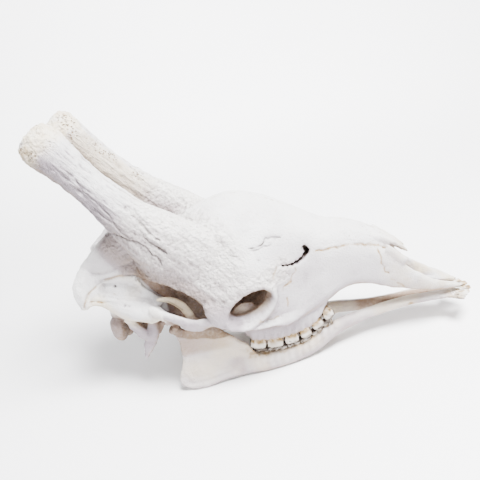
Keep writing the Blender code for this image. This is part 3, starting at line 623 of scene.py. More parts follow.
def cut_away(obj, rings):
    """Takes one closed form, drawn by rings in skull millimetres, out of the object."""
    shape = bmesh.new()
    add_skin(shape, rings)
    shape.transform(at_rest())
    cutter = object_of(shape, "cutter")
    cutter.hide_render = True
    change(obj, "BOOLEAN", operation="DIFFERENCE", solver="EXACT", object=cutter)
    bpy.data.objects.remove(cutter, do_unlink=True)


def one_skin(obj, grain, rounds):
    """Covers the bodies with one even skin and takes the facets out of it."""
    change(obj, "REMESH", mode="VOXEL", voxel_size=grain)
    keep_largest(obj)
    points = relax(read_points(obj.data), read_edges(obj.data), rounds)
    write_points(obj.data, points)


def keep_largest(obj):
    """Keeps the outer surface and drops any bubble that the remesh left inside."""
    mesh = obj.data
    edges = read_edges(mesh)
    label = np.arange(len(mesh.vertices))
    while True:
        low = np.minimum(label[edges[:, 0]], label[edges[:, 1]])
        new = label.copy()
        np.minimum.at(new, edges[:, 0], low)
        np.minimum.at(new, edges[:, 1], low)
        new = new[new]
        if np.array_equal(new, label):
            break
        label = new
    largest = np.bincount(label).argmax()
    if (label == largest).all():
        return
    with editing(mesh) as shape:
        shape.verts.ensure_lookup_table()
        doomed = [shape.verts[i] for i in np.nonzero(label != largest)[0]]
        bmesh.ops.delete(shape, geom=doomed, context="VERTS")


def thin_out(obj, triangles):
    obj.data.calc_loop_triangles()
    have = len(obj.data.loop_triangles)
    if have > triangles:
        change(obj, "DECIMATE", ratio=triangles / have, use_collapse_triangulate=True)


def carve(obj, relief):
    """Moves the skin out or in by what relief gives for each point and its normal."""
    points = read_points(obj.data)
    normals = read_normals(obj.data)
    height = relief(points, normals) * bpy.context.scene.skull_skin.relief
    write_points(obj.data, points + normals * height[:, None])


def tint(obj, tints, roof=()):
    """Stores each named pattern on the piece for its material, painted shade among them; roof
    names the solids that kept the sky from it."""
    points = read_points(obj.data)
    normals = read_normals(obj.data)
    edges = read_edges(obj.data)
    hollow = hollow_of(points, normals, edges, HOLLOW_ROUNDS)
    sky = sky_share(obj, normals, edges, roof)
    for name, values in tints(points, normals, hollow, sky).items():
        layer = obj.data.attributes.new(name, "FLOAT", "POINT")
        layer.data.foreach_set("value", np.clip(values, 0, 1).astype(np.float32))


def dress(obj, material, slot, *nodes):
    obj.data.materials.clear()
    obj.data.materials.append(material)
    obj.data.shade_smooth()
    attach(obj, BODY)
    if nodes:
        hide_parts(*nodes)


# Relief and tints of the bones


def fine_bone(points, height):
    """The even, slightly uneven face of weathered bone."""
    return height * (rough(points, 26, 2, 1) * 0.9 + rough(points, 7, 2, 4) * 0.35)


def foramina(points, places):
    """How deep each point lies in one of these small holes."""
    dip = np.zeros(len(points))
    for radius, depth, place in places:
        away = np.linalg.norm(points - place, axis=1)
        dip += depth * bell(away, radius)
    return dip


def horn_shares(points):
    """How much each point belongs to a horn's root, shaft and knob."""
    away, share = to_line(fold(points), HORN_LINE, 90)
    root = ease(away, 92, 58) * ease(share, 0.56, 0.40)
    shaft = ease(away, 60, 50) * ease(share, 0.34, 0.56) * ease(share, 0.93, 0.85)
    knob = ease(away, 60, 50) * ease(share, 0.85, 0.93)
    return root, shaft, knob


def root_bulges(points, upper):
    """Soft upright swellings over the roots of the cheek teeth."""
    above = (points[:, 2] - margin_height(points[:, 0], upper)) * (1 if upper else -1)
    band = ease(above, -1, 5) * ease(above, 26, 12)
    band = band * (points[:, 0] > 226) * (points[:, 0] < 376)
    return band * np.cos(points[:, 0] * 2 * math.pi / 12.2 + 0.6)


def squamous_share(side):
    """1 in the middle of the braincase's side wall and 0 at the edge of its swelling."""
    tilt = math.radians(-14)
    dx, dz = side[:, 0] - SQUAMOUS_MIDDLE[0], side[:, 2] - SQUAMOUS_MIDDLE[1]
    u = (dx * math.cos(tilt) + dz * math.sin(tilt)) / SQUAMOUS_HALF[0]
    v = (dz * math.cos(tilt) - dx * math.sin(tilt)) / SQUAMOUS_HALF[1]
    return ease(np.hypot(u, v), 1.05, 0.3) * ease(-side[:, 1], 40, 50)


def plate_share(side):
    """1 on the side wall of the braincase, which stands a little proud inside its rim."""
    below_rim = along_line(np.array(PLATE_RIM)[:, ::2], side[:, 0]) - side[:, 2]
    end = np.array(PLATE_END)[::-1, ::-2]
    ahead = side[:, 0] - along_line(end, side[:, 2])
    return (ease(below_rim, -0.5, 2.5) * ease(ahead, 2.5, -1.5)
            * ease(-side[:, 1], 40, 48) * ease(side[:, 2], 66, 74))


def vacuity_share(side):
    """1 on the walls inside the crescent opening in front of the orbit."""
    flat = side * (1, 0, 1)
    away = off_line(flat, VACUITY_LINE, 12)
    face = -52 - (340 - side[:, 0]) * 0.45
    return ease(away, 7.5, 6.0) * ease(side[:, 1] - face, 1.6, 3.6) * (side[:, 1] < -28)


def cranium_relief(points, normals):
    """Every form of the cranium's surface that is finer than the skin's own."""
    side = fold(points)
    x, z, out = side[:, 0], side[:, 2], -side[:, 1]
    root, shaft, knob = horn_shares(points)
    height = fine_bone(points, 0.5)
    # The horns: striae and furrows along the shaft, coral on the knob.
    fibres = along_horn(points, 7)
    striae = -np.abs(rough(fibres, 5.0, 2, 20)) + 0.25
    lower = ease(normals[:, 0], 0.1, -0.5)
    furrows = -np.abs(rough(along_horn(points, 11), 11.0, 2, 24)) + 0.25
    height += shaft * ((1.4 + 1.2 * lower) * striae + 1.8 * furrows
                       + 0.6 * rough(points, 7, 2, 23))
    height += knob * (0.7 * rough(points, 8, 2, 26) + 0.8 * rough(points, 4, 2, 27)
                      - 0.7 * worms(points, 4.5, 0.18, 29))
    # Rugged bone on the horn's root and along the brow, and on the prongs behind the ear.
    brow = off_line(side, BROW_LINE, 40)
    rugged = np.maximum(root, ease(brow, 30, 10))
    rugged *= 1 - 0.8 * ease(x, 78, 56) * ease(z, 240, 220)
    height += rugged * (0.3 * rough(points, 9, 2, 33) + 0.58 * rough(points, 3.6, 2, 38))
    height += rugged * (0.9 * rough(fibres, 5, 2, 35) - 0.3 * worms(points, 4.2, 0.2, 31))
    height += 1.5 * root * furrows
    ear = ease(z, 72, 60) * ease(x, 100, 88)
    height += ear * ease(x, 24, 32) * 1.4 * rough(points, 9, 3, 37)
    height += ease(brow, 9, 3) * 0.8
    # The dome, the occiput, the nasal bones and the snout.
    dome = ease(z, 165, 205) * ease(x, 165, 200)
    height += dome * (0.4 * rough(points, 18, 2, 40) + 0.42 * rough(points, 4.5, 2, 42)
                      - 0.25 * worms(points, 9, 0.12, 41))
    occiput = ease(x, 22, -6) * ease(z, 60, 90)
    height += occiput * 0.9 * rough(points * (1, 1, 0.5), 9, 3, 44)
    nasal = ease(x, 345, 375) * ease(z, 115, 145)
    height += nasal * (0.3 * rough(points * (0.3, 1, 1), 4, 2, 46)
                       - 0.3 * worms(points, 6, 0.1, 47))
    snout = ease(x, 450, 500)
    height += snout * 0.35 * rough(points * (0.2, 1, 1), 4, 2, 48)
    for seed, (width, depth, _, line) in enumerate(CRACKS):
        height -= 1.9 * depth * groove(points, line, width, 50 + seed)
    height -= 3.5 * groove(points, SLIT, 1.7, 60, 0.6)
    for seed, (width, depth, _, line) in enumerate(SUTURES):
        height -= depth * groove(side, line, width, 70 + seed, 2.6)
    # The braincase's side wall inside its rim, with a ridge and a swelling.
    rim = off_line(side, PLATE_RIM, 14, 12, 1.5, 80)
    height += 0.8 * bell(rim - 4, 3.0) - 1.2 * bell(rim, 2.0)
    plate = plate_share(side)
    height += 1.8 * plate
    ridge = off_line(side, PLATE_RIDGE, 14, 10, 1.5, 82)
    height += 1.8 * bell(ridge, 2.6) + 0.5 * plate * rough(points, 12, 3, 83)
    edge = off_line(side, SQUAMOUS_EDGE, 14)
    height += 1.2 * bell(edge, 3.5)
    # The channel under the eave, the arch, the cheek and the lip of the orbit.
    channel = off_line(side, EAVE_CHANNEL, 26)
    height -= 6.5 * bell(channel, 7.5) * ease(normals[:, 2], 0.6, 0.2)
    height += 3.0 * squamous_share(side)
    arch = off_line(side, ARCH_LINE, 14)
    height -= 1.4 * bell(arch, 4.5) * ease(out, 84, 92)
    height += ease(arch, 20, 10) * ease(out, 78, 88) * 0.8 * rough(points, 7, 3, 86)
    crest = off_line(side, FACIAL_CREST, 30, 9, 1.5, 84)
    height += 1.3 * bell(crest, 4.0)
    height += 0.6 * ease(crest, 26, 10) * rough(points * (0.6, 1, 1), 5, 3, 88)
    height += orbit_rim(points) * 1.3
    height += root_bulges(points, True) * ease(out, 42, 54) * 0.9
    height -= foramina(side, FORAMINA)
    return height


def cranium_tints(points, normals, hollow, sky):
    """How strongly each tint, texture and painted shade shows on the cranium."""
    side = fold(points)
    x, z, out = side[:, 0], side[:, 2], -side[:, 1]
    root, shaft, knob = horn_shares(points)
    # Spongy bone lies open on the knobs and on the horns' inner sides.
    inner_horn = ease(facing_in(points, normals), -0.1, 0.5)
    above_root = ease(z, 255, 290)
    spongy = knob * 1.3 + 2.0 * shaft * inner_horn * above_root
    spongy *= blots(points, 22, 2, 90, -0.4, 0.35)
    nasal = ease(x, 340, 380) * ease(z, 120, 150)
    spongy += 0.3 * nasal * blots(points, 20, 2, 91, -0.1, 0.5)
    brow = off_line(side, BROW_LINE, 40)
    rugged = np.maximum(root, ease(brow, 30, 10))
    # Cream where fat stayed in the bone, then the tan stains.
    snout = ease(x, 440, 500)
    cream = 0.8 * knob * blots(points, 20, 2, 92, -0.6, 0.4)
    cream += 0.6 * shaft * inner_horn + 0.15 * rugged
    edge = off_line(side, SQUAMOUS_EDGE, 30)
    cream += ease(edge, 18, 4) * 0.7
    under = ease(-normals[:, 2], 0.1, 0.8)
    cream += 0.3 * under * blots(points, 30, 2, 94, -0.3, 0.6)
    medial = ease(facing_in(points, normals), 0.2, 0.8)
    cream += snout * (0.35 + 0.4 * medial) * blots(points, 24, 2, 95, -0.6, 0.3)
    stain = 0.25 * snout * blots(points, 12, 3, 112, 0.2, 0.9)
    stain += 0.35 * knob * blots(points, 12, 3, 113, 0.1, 0.8)
    # Painted shade in the hollows; dirt in the cracks and the sutures.
    grime = ease(hollow, 0.25, 1.1) * 0.3
    for seed, (width, _, dark, line) in enumerate(CRACKS):
        grime += 3.0 * dark * groove(points, line, width * 1.1, 50 + seed)
    grime += 1.4 * groove(points, SLIT, 1.6, 60, 0.6)
    for seed, (width, _, dark, line) in enumerate(SUTURES):
        mark = groove(side, line, width * 1.15, 70 + seed, 2.6)
        stain += (1.7 + 1.0 * lumps(points, 8, 99)) * dark * mark
        grime += (0.45 + 0.5 * lumps(points, 6, 98)) * dark * mark
    rim = off_line(side, PLATE_RIM, 14, 12, 1.5, 80)
    stain += 0.7 * bell(rim, 1.9)
    plate = plate_share(side)
    # Painted shade in the channel under the eave.
    channel = off_line(side, EAVE_CHANNEL, 40)
    eave_shade = ease(channel, 24, 12) * (1 - plate)
    eave_shade *= ease(normals[:, 2], 0.75, 0.35) * ease(out, 34, 42)
    eave_shade *= ease(x, 56, 92)
    # Painted shade darkens the orbit but for a strut, a patch of its inner wall and its
    # upward-facing floor, which is painted as if lit.
    around, depth = orbit_place(points)
    socket = ease(around, 1.1, 0.92) * ease(depth, 4, 18) * ease(depth, 130, 90)
    floor = ease(normals[:, 2], 0.25, 0.6)
    uneven = warp(side, 7, 5, 114)
    pale = np.exp(-(np.linalg.norm(uneven - (217, -73, 66), axis=1) / 17) ** 4)
    pale += np.exp(-(np.linalg.norm(uneven - (230, -80, 65), axis=1) / 9) ** 4)
    strut = off_line(side, ORBIT_STRUT, 8)
    pale = np.clip(pale + ease(strut, 3.5, 1.5) + floor, 0, 1)
    # Painted shade in the fossa inside the arch; stains on the gums and the roof of the mouth.
    fossa = ease(x, 100, 122) * ease(x, 215, 190)
    fossa *= ease(z, 48, 62) * ease(z, 128, 112)
    fossa *= ease(out, 24, 36) * ease(out, 96, 84)
    grime += 0.15 * socket * (1 - pale) + 0.12 * fossa + 0.08 * eave_shade
    cream += 0.6 * socket * pale
    above = z - margin_height(x, True)
    gum = ease(above, 8, 0) * ease(x, 218, 226) * ease(x, 388, 378)
    gum *= ease(out, 24, 30)
    blotch = blots(points, 6, 2, 97, -0.4, 0.5)
    stain += gum * (0.45 + 0.6 * blotch)
    grime += gum * 0.45 * blotch
    mouth = ease(out, 40, 28) * under * ease(x, 190, 230)
    stain += 0.2 * mouth
    # Painted shade inside the vacuity and in the furrow outside the orbit's lip; darker in the
    # small holes.
    grime += 1.2 * vacuity_share(side) + 0.12 * np.clip(-orbit_rim(points), 0, 1)
    grime += 0.3 * foramina(side, FORAMINA)
    grime += 0.2 * rugged * worms(points, 5.5, 0.12, 31)
    ear = ease(z, 62, 50) * ease(x, 92, 78)
    # Painted shade where little open sky reaches and in the hollows, less of it on the side wall
    # as far as its rim, though the roof hangs over it.
    wall = np.maximum(plate, ease(z, 104, 112) * ease(z, 196, 126)
                      * ease(x, 56, 40) * ease(normals[:, 2], -0.5, -0.2))
    shade = ease(sky, 0.85, 0.15) * (1 - 0.8 * wall)
    shade += (0.25 + 0.45 * shaft) * ease(hollow, 0.0, 0.7)
    # Painted shadow along the lines under the horn's root and on the postorbital bar, and
    # painted shade on the horns' lower sides.
    band = off_line(side, SHADOW_LINE, 40, 20, 4, 88)
    band = ease(band, 26, 8) * ease(normals[:, 2], 0.85, 0.4) * (1 - plate)
    bar = off_line(side, BAR_LINE, 30)
    grime += 0.14 * band
    shade += 1.1 * band + 0.8 * ease(bar, 24, 8)
    shade += 1.1 * shaft * ease(normals[:, 0] + 0.6 * normals[:, 2], 0.1, -0.7)
    cream += 0.25 * plate * blots(points, 26, 2, 93, -0.2, 0.6)
    # Painted shade on the arch, the prongs and the condyle, and a painted dark crevice beside
    # the condyle.
    arch = off_line(side, ARCH_LINE, 24)
    ball = ease(x, 36, 26) * ease(z, 84, 74) * ease(out, 62, 54)
    shade += 0.5 * ear + 0.45 * ease(arch, 20, 12) * ease(out, 78, 88) + 0.6 * ball
    crevice = ball * ease(normals[:, 0], 0.2, 0.75)
    grime += 0.5 * crevice + 0.1 * ball
    # Umber painted shade where the sky is nearly shut out, in the crevice, the orbit, the
    # channel under the eave, the fossa, on the condyle and along the shadow line.
    umber = (0.6 * crevice + ease(sky, 0.32, 0.04) * (1 - wall)
             + 0.7 * socket * (1 - pale) + 1.1 * eave_shade)
    umber += 0.6 * fossa + 0.6 * ball + 0.5 * socket * pale + 0.3 * band
    return {"cream": cream, "stain": stain, "grime": grime, "porous": spongy,
            "shade": shade, "umber": umber, "grit": np.maximum(rugged, knob),
            "fibre": shaft + 0.5 * root}


def jaw_relief(points, normals):
    """Lines where the masseter held fast, a rough angle, root bulges and a rough chin."""
    side = fold(points)
    x, z = side[:, 0], side[:, 2]
    fibres = points * (0.25, 1, 1)
    height = fine_bone(points, 0.35) + 0.3 * rough(fibres, 4.5, 2, 120)
    for seed, line in enumerate(MASSETER_LINES):
        away = off_line(side, line, 16, 16, 2.5, 122 + seed)
        height += 0.9 * bell(away, 3.6)
    angle = ease(x, 175, 135) * ease(z, -15, -45)
    height += angle * 0.9 * rough(points, 9, 3, 126)
    height += 0.8 * root_bulges(points, False)
    chin = ease(x, 520, 580)
    height += chin * (0.5 * rough(points, 7, 2, 127) - 0.6 * worms(points, 6, 0.14, 128))
    return height - foramina(side, JAW_FORAMINA)


def jaw_tints(points, normals, hollow, sky):
    """How strongly each tint, texture and painted shade shows on the jaw."""
    side = fold(points)
    x, z, out = side[:, 0], side[:, 2], -side[:, 1]
    inner = ease(facing_in(points, normals), 0.1, 0.7)
    cream = 0.45 * inner + 0.5 * blots(points, 45, 2, 130, -0.2, 0.7)
    high = ease(z, 60, 72)
    # Painted shadow of the arch on the ramus above this line.
    above = z - along_line(RAMUS_SHADE, x)
    under_arch = ease(above + 1.5 * lumps(points, 9, 138), -2, 2) * ease(z, 78, 66)
    under_arch *= ease(out, 60, 66) * ease(x, 214, 204)
    behind = ease(z, -6, 8) * ease(z, 44, 28)
    behind *= ease(x, 205, 180)
    cream += 0.8 * high
    below = margin_height(x, False) - z
    gum = ease(below, 4, 0) * ease(x, 214, 226) * ease(x, 388, 378)
    blotch = blots(points, 8, 3, 133, -0.3, 0.5)
    back = np.linalg.norm((side - (236, -64, -8)) / (17, 14, 12), axis=1)
    stain = gum * (0.2 + 0.4 * blotch) + 0.8 * ease(back, 1.3, 0.4) * blotch
    # The painted shade line under the coronoid's rim.
    shade_under_rim = off_line(side, CORONOID_SHADE_LINE, 10, 9, 1, 141)
    stain += 0.22 * blots(points, 30, 3, 136, 0.3, 0.9) + 0.3 * behind
    # Painted shade ahead of the teeth on the faces turned inward, more widely on the left half,
    # as far as its upper edge.
    inward = ease(facing_in(points, normals), -0.3, 0.3)
    bar = np.where(points[:, 1] > 0, inward, inner)
    bar *= ease(x, 405, 440) * ease(x, 604, 590)
    # Painted shade in the line under the rim, in the hollows and under the arch; dirt at the
    # gums.
    grime = 0.6 * bell(shade_under_rim, 1.6) + 0.3 * gum * blotch + 0.16 * behind
    grime += 0.3 * ease(hollow, 0.3, 1.4) + 0.42 * under_arch
    grime += 0.28 * foramina(side, JAW_FORAMINA) + 0.2 * ease(back, 1.0, 0.2) * blotch
    stain += 0.8 * foramina(side, JAW_FORAMINA)
    chin = ease(x, 565, 595)
    stain += 0.7 * chin * blots(points, 9, 2, 137, -0.4, 0.5)
    grime += 0.3 * chin * blots(points, 5, 2, 142, 0.1, 0.6)
    graze = np.linalg.norm((side - MASSETER_SHADE[:3]) / MASSETER_SHADE[3:], axis=1)
    # Painted shade where little sky reaches, on the inner faces, in the patch on the ramus, on
    # the ramus behind the teeth and ahead of them; the blots are random tone.
    shade = ease(sky, 0.85, 0.15) + 0.3 * behind + 0.2 * inner + 0.45 * ease(graze, 1.2, 0.5)
    shade += 0.3 * blots(points, 40, 3, 139, 0.1, 0.8) + 0.5 * bar
    # Umber painted shade where the sky is nearly shut out, under the arch and ahead of the
    # teeth.
    umber = ease(sky, 0.15, 0.02) * (1 - inner) + under_arch + 1.2 * bar
    return {"cream": cream, "stain": stain, "grime": grime,
            "porous": 0.6 * chin + 0.3 * ease(x, 150, 115),
            "shade": shade, "umber": umber, "grit": 0.6 * chin + 0.4 * gum}


# Teeth


# A crown's rings from the root stubs to the worn face: height and swelling as shares.
CROWN_RINGS = ((-0.7, 0.7), (-0.35, 0.84), (-0.08, 0.92), (0.05, 0.97), (0.3, 1.0), (0.55, 1.0),
               (0.78, 0.99), (0.92, 0.98), (0.985, 0.95), (1.0, 0.86))
CROWN_SIDES = 40


def tooth_crown(name, upper, molar):
    """A unit crown with root stubs: 1 long on X, 1 wide on Y, and worn face at Z = 1."""
    shape = bmesh.new()
    rows = []
    for level, swell in CROWN_RINGS:
        ring = []
        for k in range(CROWN_SIDES):
            turn = 2 * math.pi * k / CROWN_SIDES
            c, s = math.cos(turn), math.sin(turn)
            u = math.copysign(abs(c) ** 0.5, c)
            v = math.copysign(abs(s) ** 0.5, s)
            # Molars have ribs and a pinch between their two lobes, premolars one soft rib.
            if molar:
                pinch = math.exp(-(u / 0.16) ** 2)
                styles = (math.exp(-((abs(u) - 0.96) / 0.1) ** 2)
                          + (1.0 if upper else -1.4) * math.exp(-(u / 0.08) ** 2)
                          + 0.7 * math.exp(-((abs(u) - 0.5) / 0.12) ** 2) - 0.6)
                ribs = styles * 0.17 if v < 0 else -pinch * 0.24
            else:
                ribs = 0.06 * math.exp(-(u / 0.3) ** 2)
            # The worn face is cut in cusps.
            z = level
            if level > 0.8:
                wave = abs(math.sin(math.pi * u)) if molar else 1 - u * u
                z -= (1 - wave) * 0.09 * (level - 0.8) / 0.2
            ring.append(shape.verts.new((u * swell * 0.5, v * (swell + ribs) * 0.5, z)))
        rows.append(ring)
    join_rows(shape, rows)
    for ring, top in ((rows[0], -0.7), (rows[-1], 0.93)):
        middle = shape.verts.new((0, 0, top))
        for i, here in enumerate(ring):
            shape.faces.new((here, ring[(i + 1) % CROWN_SIDES], middle))
    bmesh.ops.recalc_face_normals(shape, faces=shape.faces)
    crown = object_of(shape, name)
    crown.data.shade_smooth()
    return crown


def add_node(tree, kind, inputs=None, **settings):
    """A node with its settings, its inputs set to values or linked to other sockets."""
    node = tree.nodes.new(kind)
    for name, value in settings.items():
        setattr(node, name, value)
    for key, value in (inputs or {}).items():
        if isinstance(value, bpy.types.NodeSocket):
            tree.links.new(value, node.inputs[key])
        else:
            node.inputs[key].default_value = value
    return node


def maths(tree, kind, *values, clamp=False):
    """The result of one sum on numbers and sockets."""
    return add_node(tree, "ShaderNodeMath", dict(enumerate(values)), operation=kind,
                    use_clamp=clamp).outputs[0]


def noise(tree, place, size, detail, roughness=0.5):
    """Cloudy noise whose clouds are about this many metres wide."""
    return add_node(tree, "ShaderNodeTexNoise",
                    {"Vector": place, "Scale": 1 / size, "Detail": detail,
                     "Roughness": roughness}).outputs["Fac"]


def cells(tree, place, size, kind="F1"):
    """Distance from the middles of cells about this many metres wide."""
    return add_node(tree, "ShaderNodeTexVoronoi", {"Vector": place, "Scale": 1 / size},
                    feature=kind).outputs["Distance"]


def spread(tree, value, low, high, start, end):
    """A value's range from low to high laid out from start to end."""
    return add_node(tree, "ShaderNodeMapRange",
                    {0: value, 1: low, 2: high, 3: start, 4: end}).outputs[0]


def blend(tree, share, first, second):
    return add_node(tree, "ShaderNodeMix", {0: share, 6: first, 7: second},
                    data_type="RGBA").outputs[2]


def tooth_row_tree():
    """Sets a crown from a collection on each point of a row, turned and sized by it."""
    tree = bpy.data.node_groups.new("tooth_row", "GeometryNodeTree")
    for name, kind in (("Row", "Geometry"), ("Crowns", "Collection"), ("Wobble", "Float"),
                       ("Seed", "Int"), ("Enamel", "Material")):
        tree.interface.new_socket(name, in_out="INPUT", socket_type="NodeSocket" + kind)
    tree.interface.new_socket("Teeth", in_out="OUTPUT", socket_type="NodeSocketGeometry")
    given = add_node(tree, "NodeGroupInput").outputs
    stored = {name: add_node(tree, "GeometryNodeInputNamedAttribute", {"Name": name},
                             data_type=kind).outputs["Attribute"]
              for name, kind in (("kind", "INT"), ("size", "FLOAT_VECTOR"),
                                 ("turn", "FLOAT_VECTOR"))}
    crowns = add_node(tree, "GeometryNodeCollectionInfo",
                      {"Collection": given["Crowns"], "Separate Children": True,
                       "Reset Children": True})
    wobble = add_node(tree, "FunctionNodeRandomValue",
                      {"Min": maths(tree, "MULTIPLY", given["Wobble"], -1.0),
                       "Max": given["Wobble"], "Seed": given["Seed"]},
                      data_type="FLOAT_VECTOR")
    turned = add_node(tree, "ShaderNodeVectorMath",
                      {0: stored["turn"], 1: wobble.outputs["Value"]}, operation="ADD")
    spin = add_node(tree, "FunctionNodeEulerToRotation", {"Euler": turned.outputs[0]})
    teeth = add_node(tree, "GeometryNodeInstanceOnPoints",
                     {"Points": given["Row"], "Instance": crowns.outputs[0],
                      "Pick Instance": True, "Instance Index": stored["kind"],
                      "Rotation": spin.outputs[0], "Scale": stored["size"]})
    real = add_node(tree, "GeometryNodeRealizeInstances", {"Geometry": teeth.outputs[0]})
    shown = add_node(tree, "GeometryNodeSetMaterial",
                     {"Geometry": real.outputs[0], "Material": given["Enamel"]})
    add_node(tree, "NodeGroupOutput", {"Teeth": shown.outputs[0]})
    return tree


def turn_of(line, x):
    """The angle at which a long line runs at each x."""
    return np.arctan2(along_line(line, x + 5) - along_line(line, x - 5), 10)


def tooth_row(name, sizes, row_out, side, upper, crowns, tree, material):
    """One row of cheek teeth, set on the chewing line."""
    teeth = bpy.context.scene.skull_teeth
    crown = (teeth.upper_crown if upper else teeth.lower_crown) / MM
    lengths = np.array(sizes, float)
    lengths[:, 0] *= (TOOTH_ROW[1] - TOOTH_ROW[0]) / lengths[:, 0].sum()
    x = TOOTH_ROW[0] + np.cumsum(lengths[:, 0]) - lengths[:, 0] / 2
    out = along_line(row_out, x)
    rise = 1 if upper else -1
    crown = crown * (1 - 0.15 * ease(x, 335, 366) * upper)
    z = along_line(CHEWING_LINE, x) + rise * (CROWN_CLEARANCE + crown)
    mesh = bpy.data.meshes.new(name)
    mesh.from_pydata([(a * MM, side * b * MM, c * MM) for a, b, c in zip(x, out, z)], [], [])
    turns = np.column_stack((x * 0 + (math.pi if upper else 0), -turn_of(CHEWING_LINE, x),
                             side * turn_of(row_out, x)))
    scales = np.column_stack((lengths[:, 0] * (1 - teeth.gap), lengths[:, 1], x * 0 + crown))
    scales[:, 1] *= -rise * -side
    # The crowns lie in the collection by name: lower and upper molar, then the premolars.
    kinds = [(0 if k < 3 else 2) + upper for k in range(6)]
    for label, kind, key, values in (("turn", "FLOAT_VECTOR", "vector", turns),
                                     ("size", "FLOAT_VECTOR", "vector", scales * MM),
                                     ("kind", "INT", "value", np.array(kinds))):
        layer = mesh.attributes.new(label, kind, "POINT")
        layer.data.foreach_set(key, values.ravel())
    row = new_object(name, mesh)
    nodes = row.modifiers.new("teeth", "NODES")
    nodes.node_group = tree
    sockets = {item.name: item.identifier for item in tree.interface.items_tree}
    nodes[sockets["Crowns"]] = crowns
    nodes[sockets["Wobble"]] = teeth.wobble
    nodes[sockets["Seed"]] = teeth.seed + (1 if upper else 3) + side
    nodes[sockets["Enamel"]] = material
    settle(row)
    with editing(row.data) as shape:
        shape.transform(at_rest())
        bmesh.ops.recalc_face_normals(shape, faces=shape.faces)
    return row


def tooth_relief(points, normals):
    front = ease(points[:, 0], 330, 350)
    return (0.5 + 0.5 * front) * rough(points, 4.5, 2, 145) + 0.35 * lumps(points, 2.4, 147)


def tooth_tints(points, normals, hollow, sky):
    """Tartar at the necks, dirt, and painted shade between the crowns and in their hollows."""
    upper = points[:, 2] > along_line(CHEWING_LINE, points[:, 0])
    lift = points[:, 2] - np.where(upper, margin_height(points[:, 0], True),
                                   margin_height(points[:, 0], False))
    toward = np.where(upper, -lift, lift)
    neck = ease(toward, 5.0, 0.0)
    between = ease(np.abs(normals[:, 0]), 0.55, 0.9)
    blotch = blots(points, 5, 3, 140, -0.3, 0.5)
    worn = ease(np.abs(points[:, 2] - along_line(CHEWING_LINE, points[:, 0])), 6.0, 3.0)
    stain = neck * (0.6 + 0.45 * blotch) + 0.4 * between + 0.2 * worn
    grime = 1.3 * between + neck * 0.5 * blotch + 1.5 * ease(hollow, 0.0, 0.35)
    fine = blots(points, 2.6, 2, 143, -0.1, 0.4)
    # Painted shade over the lower row and along the gap at the chewing line; random dirt on the
    # premolars.
    grime += (0.4 + 0.8 * fine) * ~upper + 1.0 * worn * (0.5 + 0.5 * fine)
    grime += 0.45 * ease(points[:, 0], 335, 355) * fine
    # The shade layer here holds only random darker blots.
    return {"stain": stain, "grime": grime, "shade": 0.3 + 0.5 * blotch}


def front_tints(points, normals, hollow, sky):
    """Stained necks and edges, random dirt, and painted shade between the teeth and in hollows.
    """
    neck = ease(points[:, 0], 606, 594)
    blotch = blots(points, 5, 3, 150, -0.2, 0.6)
    stain = neck * 0.5 + 1.2 * blotch * blots(points, 9, 2, 152, -0.2, 0.3)
    stain += 0.8 * ease(points[:, 0], 610, 618)
    between = ease(np.abs(normals[:, 1]), 0.5, 0.85) * ease(points[:, 0], 618, 612)
    grime = 0.4 * neck * blotch + 0.6 * ease(hollow, 0.1, 0.6) + 0.6 * between
    grime += 0.6 * blots(points, 4, 2, 153, 0.1, 0.6)
    return {"stain": stain, "grime": grime}


# A front tooth from its neck to its edge: share of its length, then its breadth and
# thickness as shares of the most, and how far it is bent up in millimetres.
INCISOR_RINGS = (
    (0.0, 0.42, 0.62, 0), (0.3, 0.5, 0.7, 0.2), (0.45, 0.62, 0.8, 0.5), (0.6, 0.86, 0.9, 0.9),
    (0.75, 1.0, 0.85, 1.2), (0.88, 1.02, 0.66, 1.5), (0.96, 0.97, 0.46, 1.7),
    (1.0, 0.86, 0.3, 1.7),
)
# The middle tooth's turn in degrees, neck place along and out, and length, each with what
# it changes by from tooth to tooth; then the range of the tips' height and the breadth.
INCISOR_FAN = ((5, 12), (586, -2), (5, 5), (37, -3))
INCISOR_LIFT = (2, 5)
INCISOR_WIDTH = (5.3, 6.0)
INCISOR_THICKNESS = 4.6
INCISOR_SIDES = 20
INCISOR_CHIP = 1.3  # the most that the worn edge is uneven, in millimetres


def incisor(shape, root, tip, wide, thick, seed):
    """A spade-shaped front tooth, narrow at its neck and worn across its edge."""
    heading = (tip - root).normalized()
    across = Vector((-heading.y, heading.x, 0)).normalized()
    rise = heading.cross(across)
    if rise.z < 0:
        rise = -rise
    draw = np.random.default_rng(seed)
    rings = []
    for share, w, t, lift in INCISOR_RINGS:
        middle = root.lerp(tip, share) + rise * lift
        ring = []
        for k in range(INCISOR_SIDES):
            turn = 2 * math.pi * k / INCISOR_SIDES
            c = math.copysign(abs(math.cos(turn)) ** 0.8, math.cos(turn))
            s = math.sin(turn)
            chip = draw.uniform(-INCISOR_CHIP, INCISOR_CHIP) if share > 0.6 else 0.0
            hollowed = 0.45 * (1 - c * c) * (s > 0)
            ring.append(middle + across * (c * wide * w)
                        + rise * ((s - hollowed) * thick * t) + heading * chip)
        rings.append(ring)
    add_skin(shape, rings)


# Finishes


# The patterns that the materials read from the pieces, some of them painted shade, and what
# noise is laid on them, in metres.
TINTS = ("shade", "cream", "umber", "stain", "grime", "porous", "grit", "fibre")
PATCH_SIZE = 0.055
SPECK_SIZE = 0.005
PORE_SIZE = 0.0036
PIT_SIZE = 0.0045
GRAIN_SIZE = 0.003
STRAND_SIZE = 0.004
STRAND_STRETCH = (6, 1, 1)
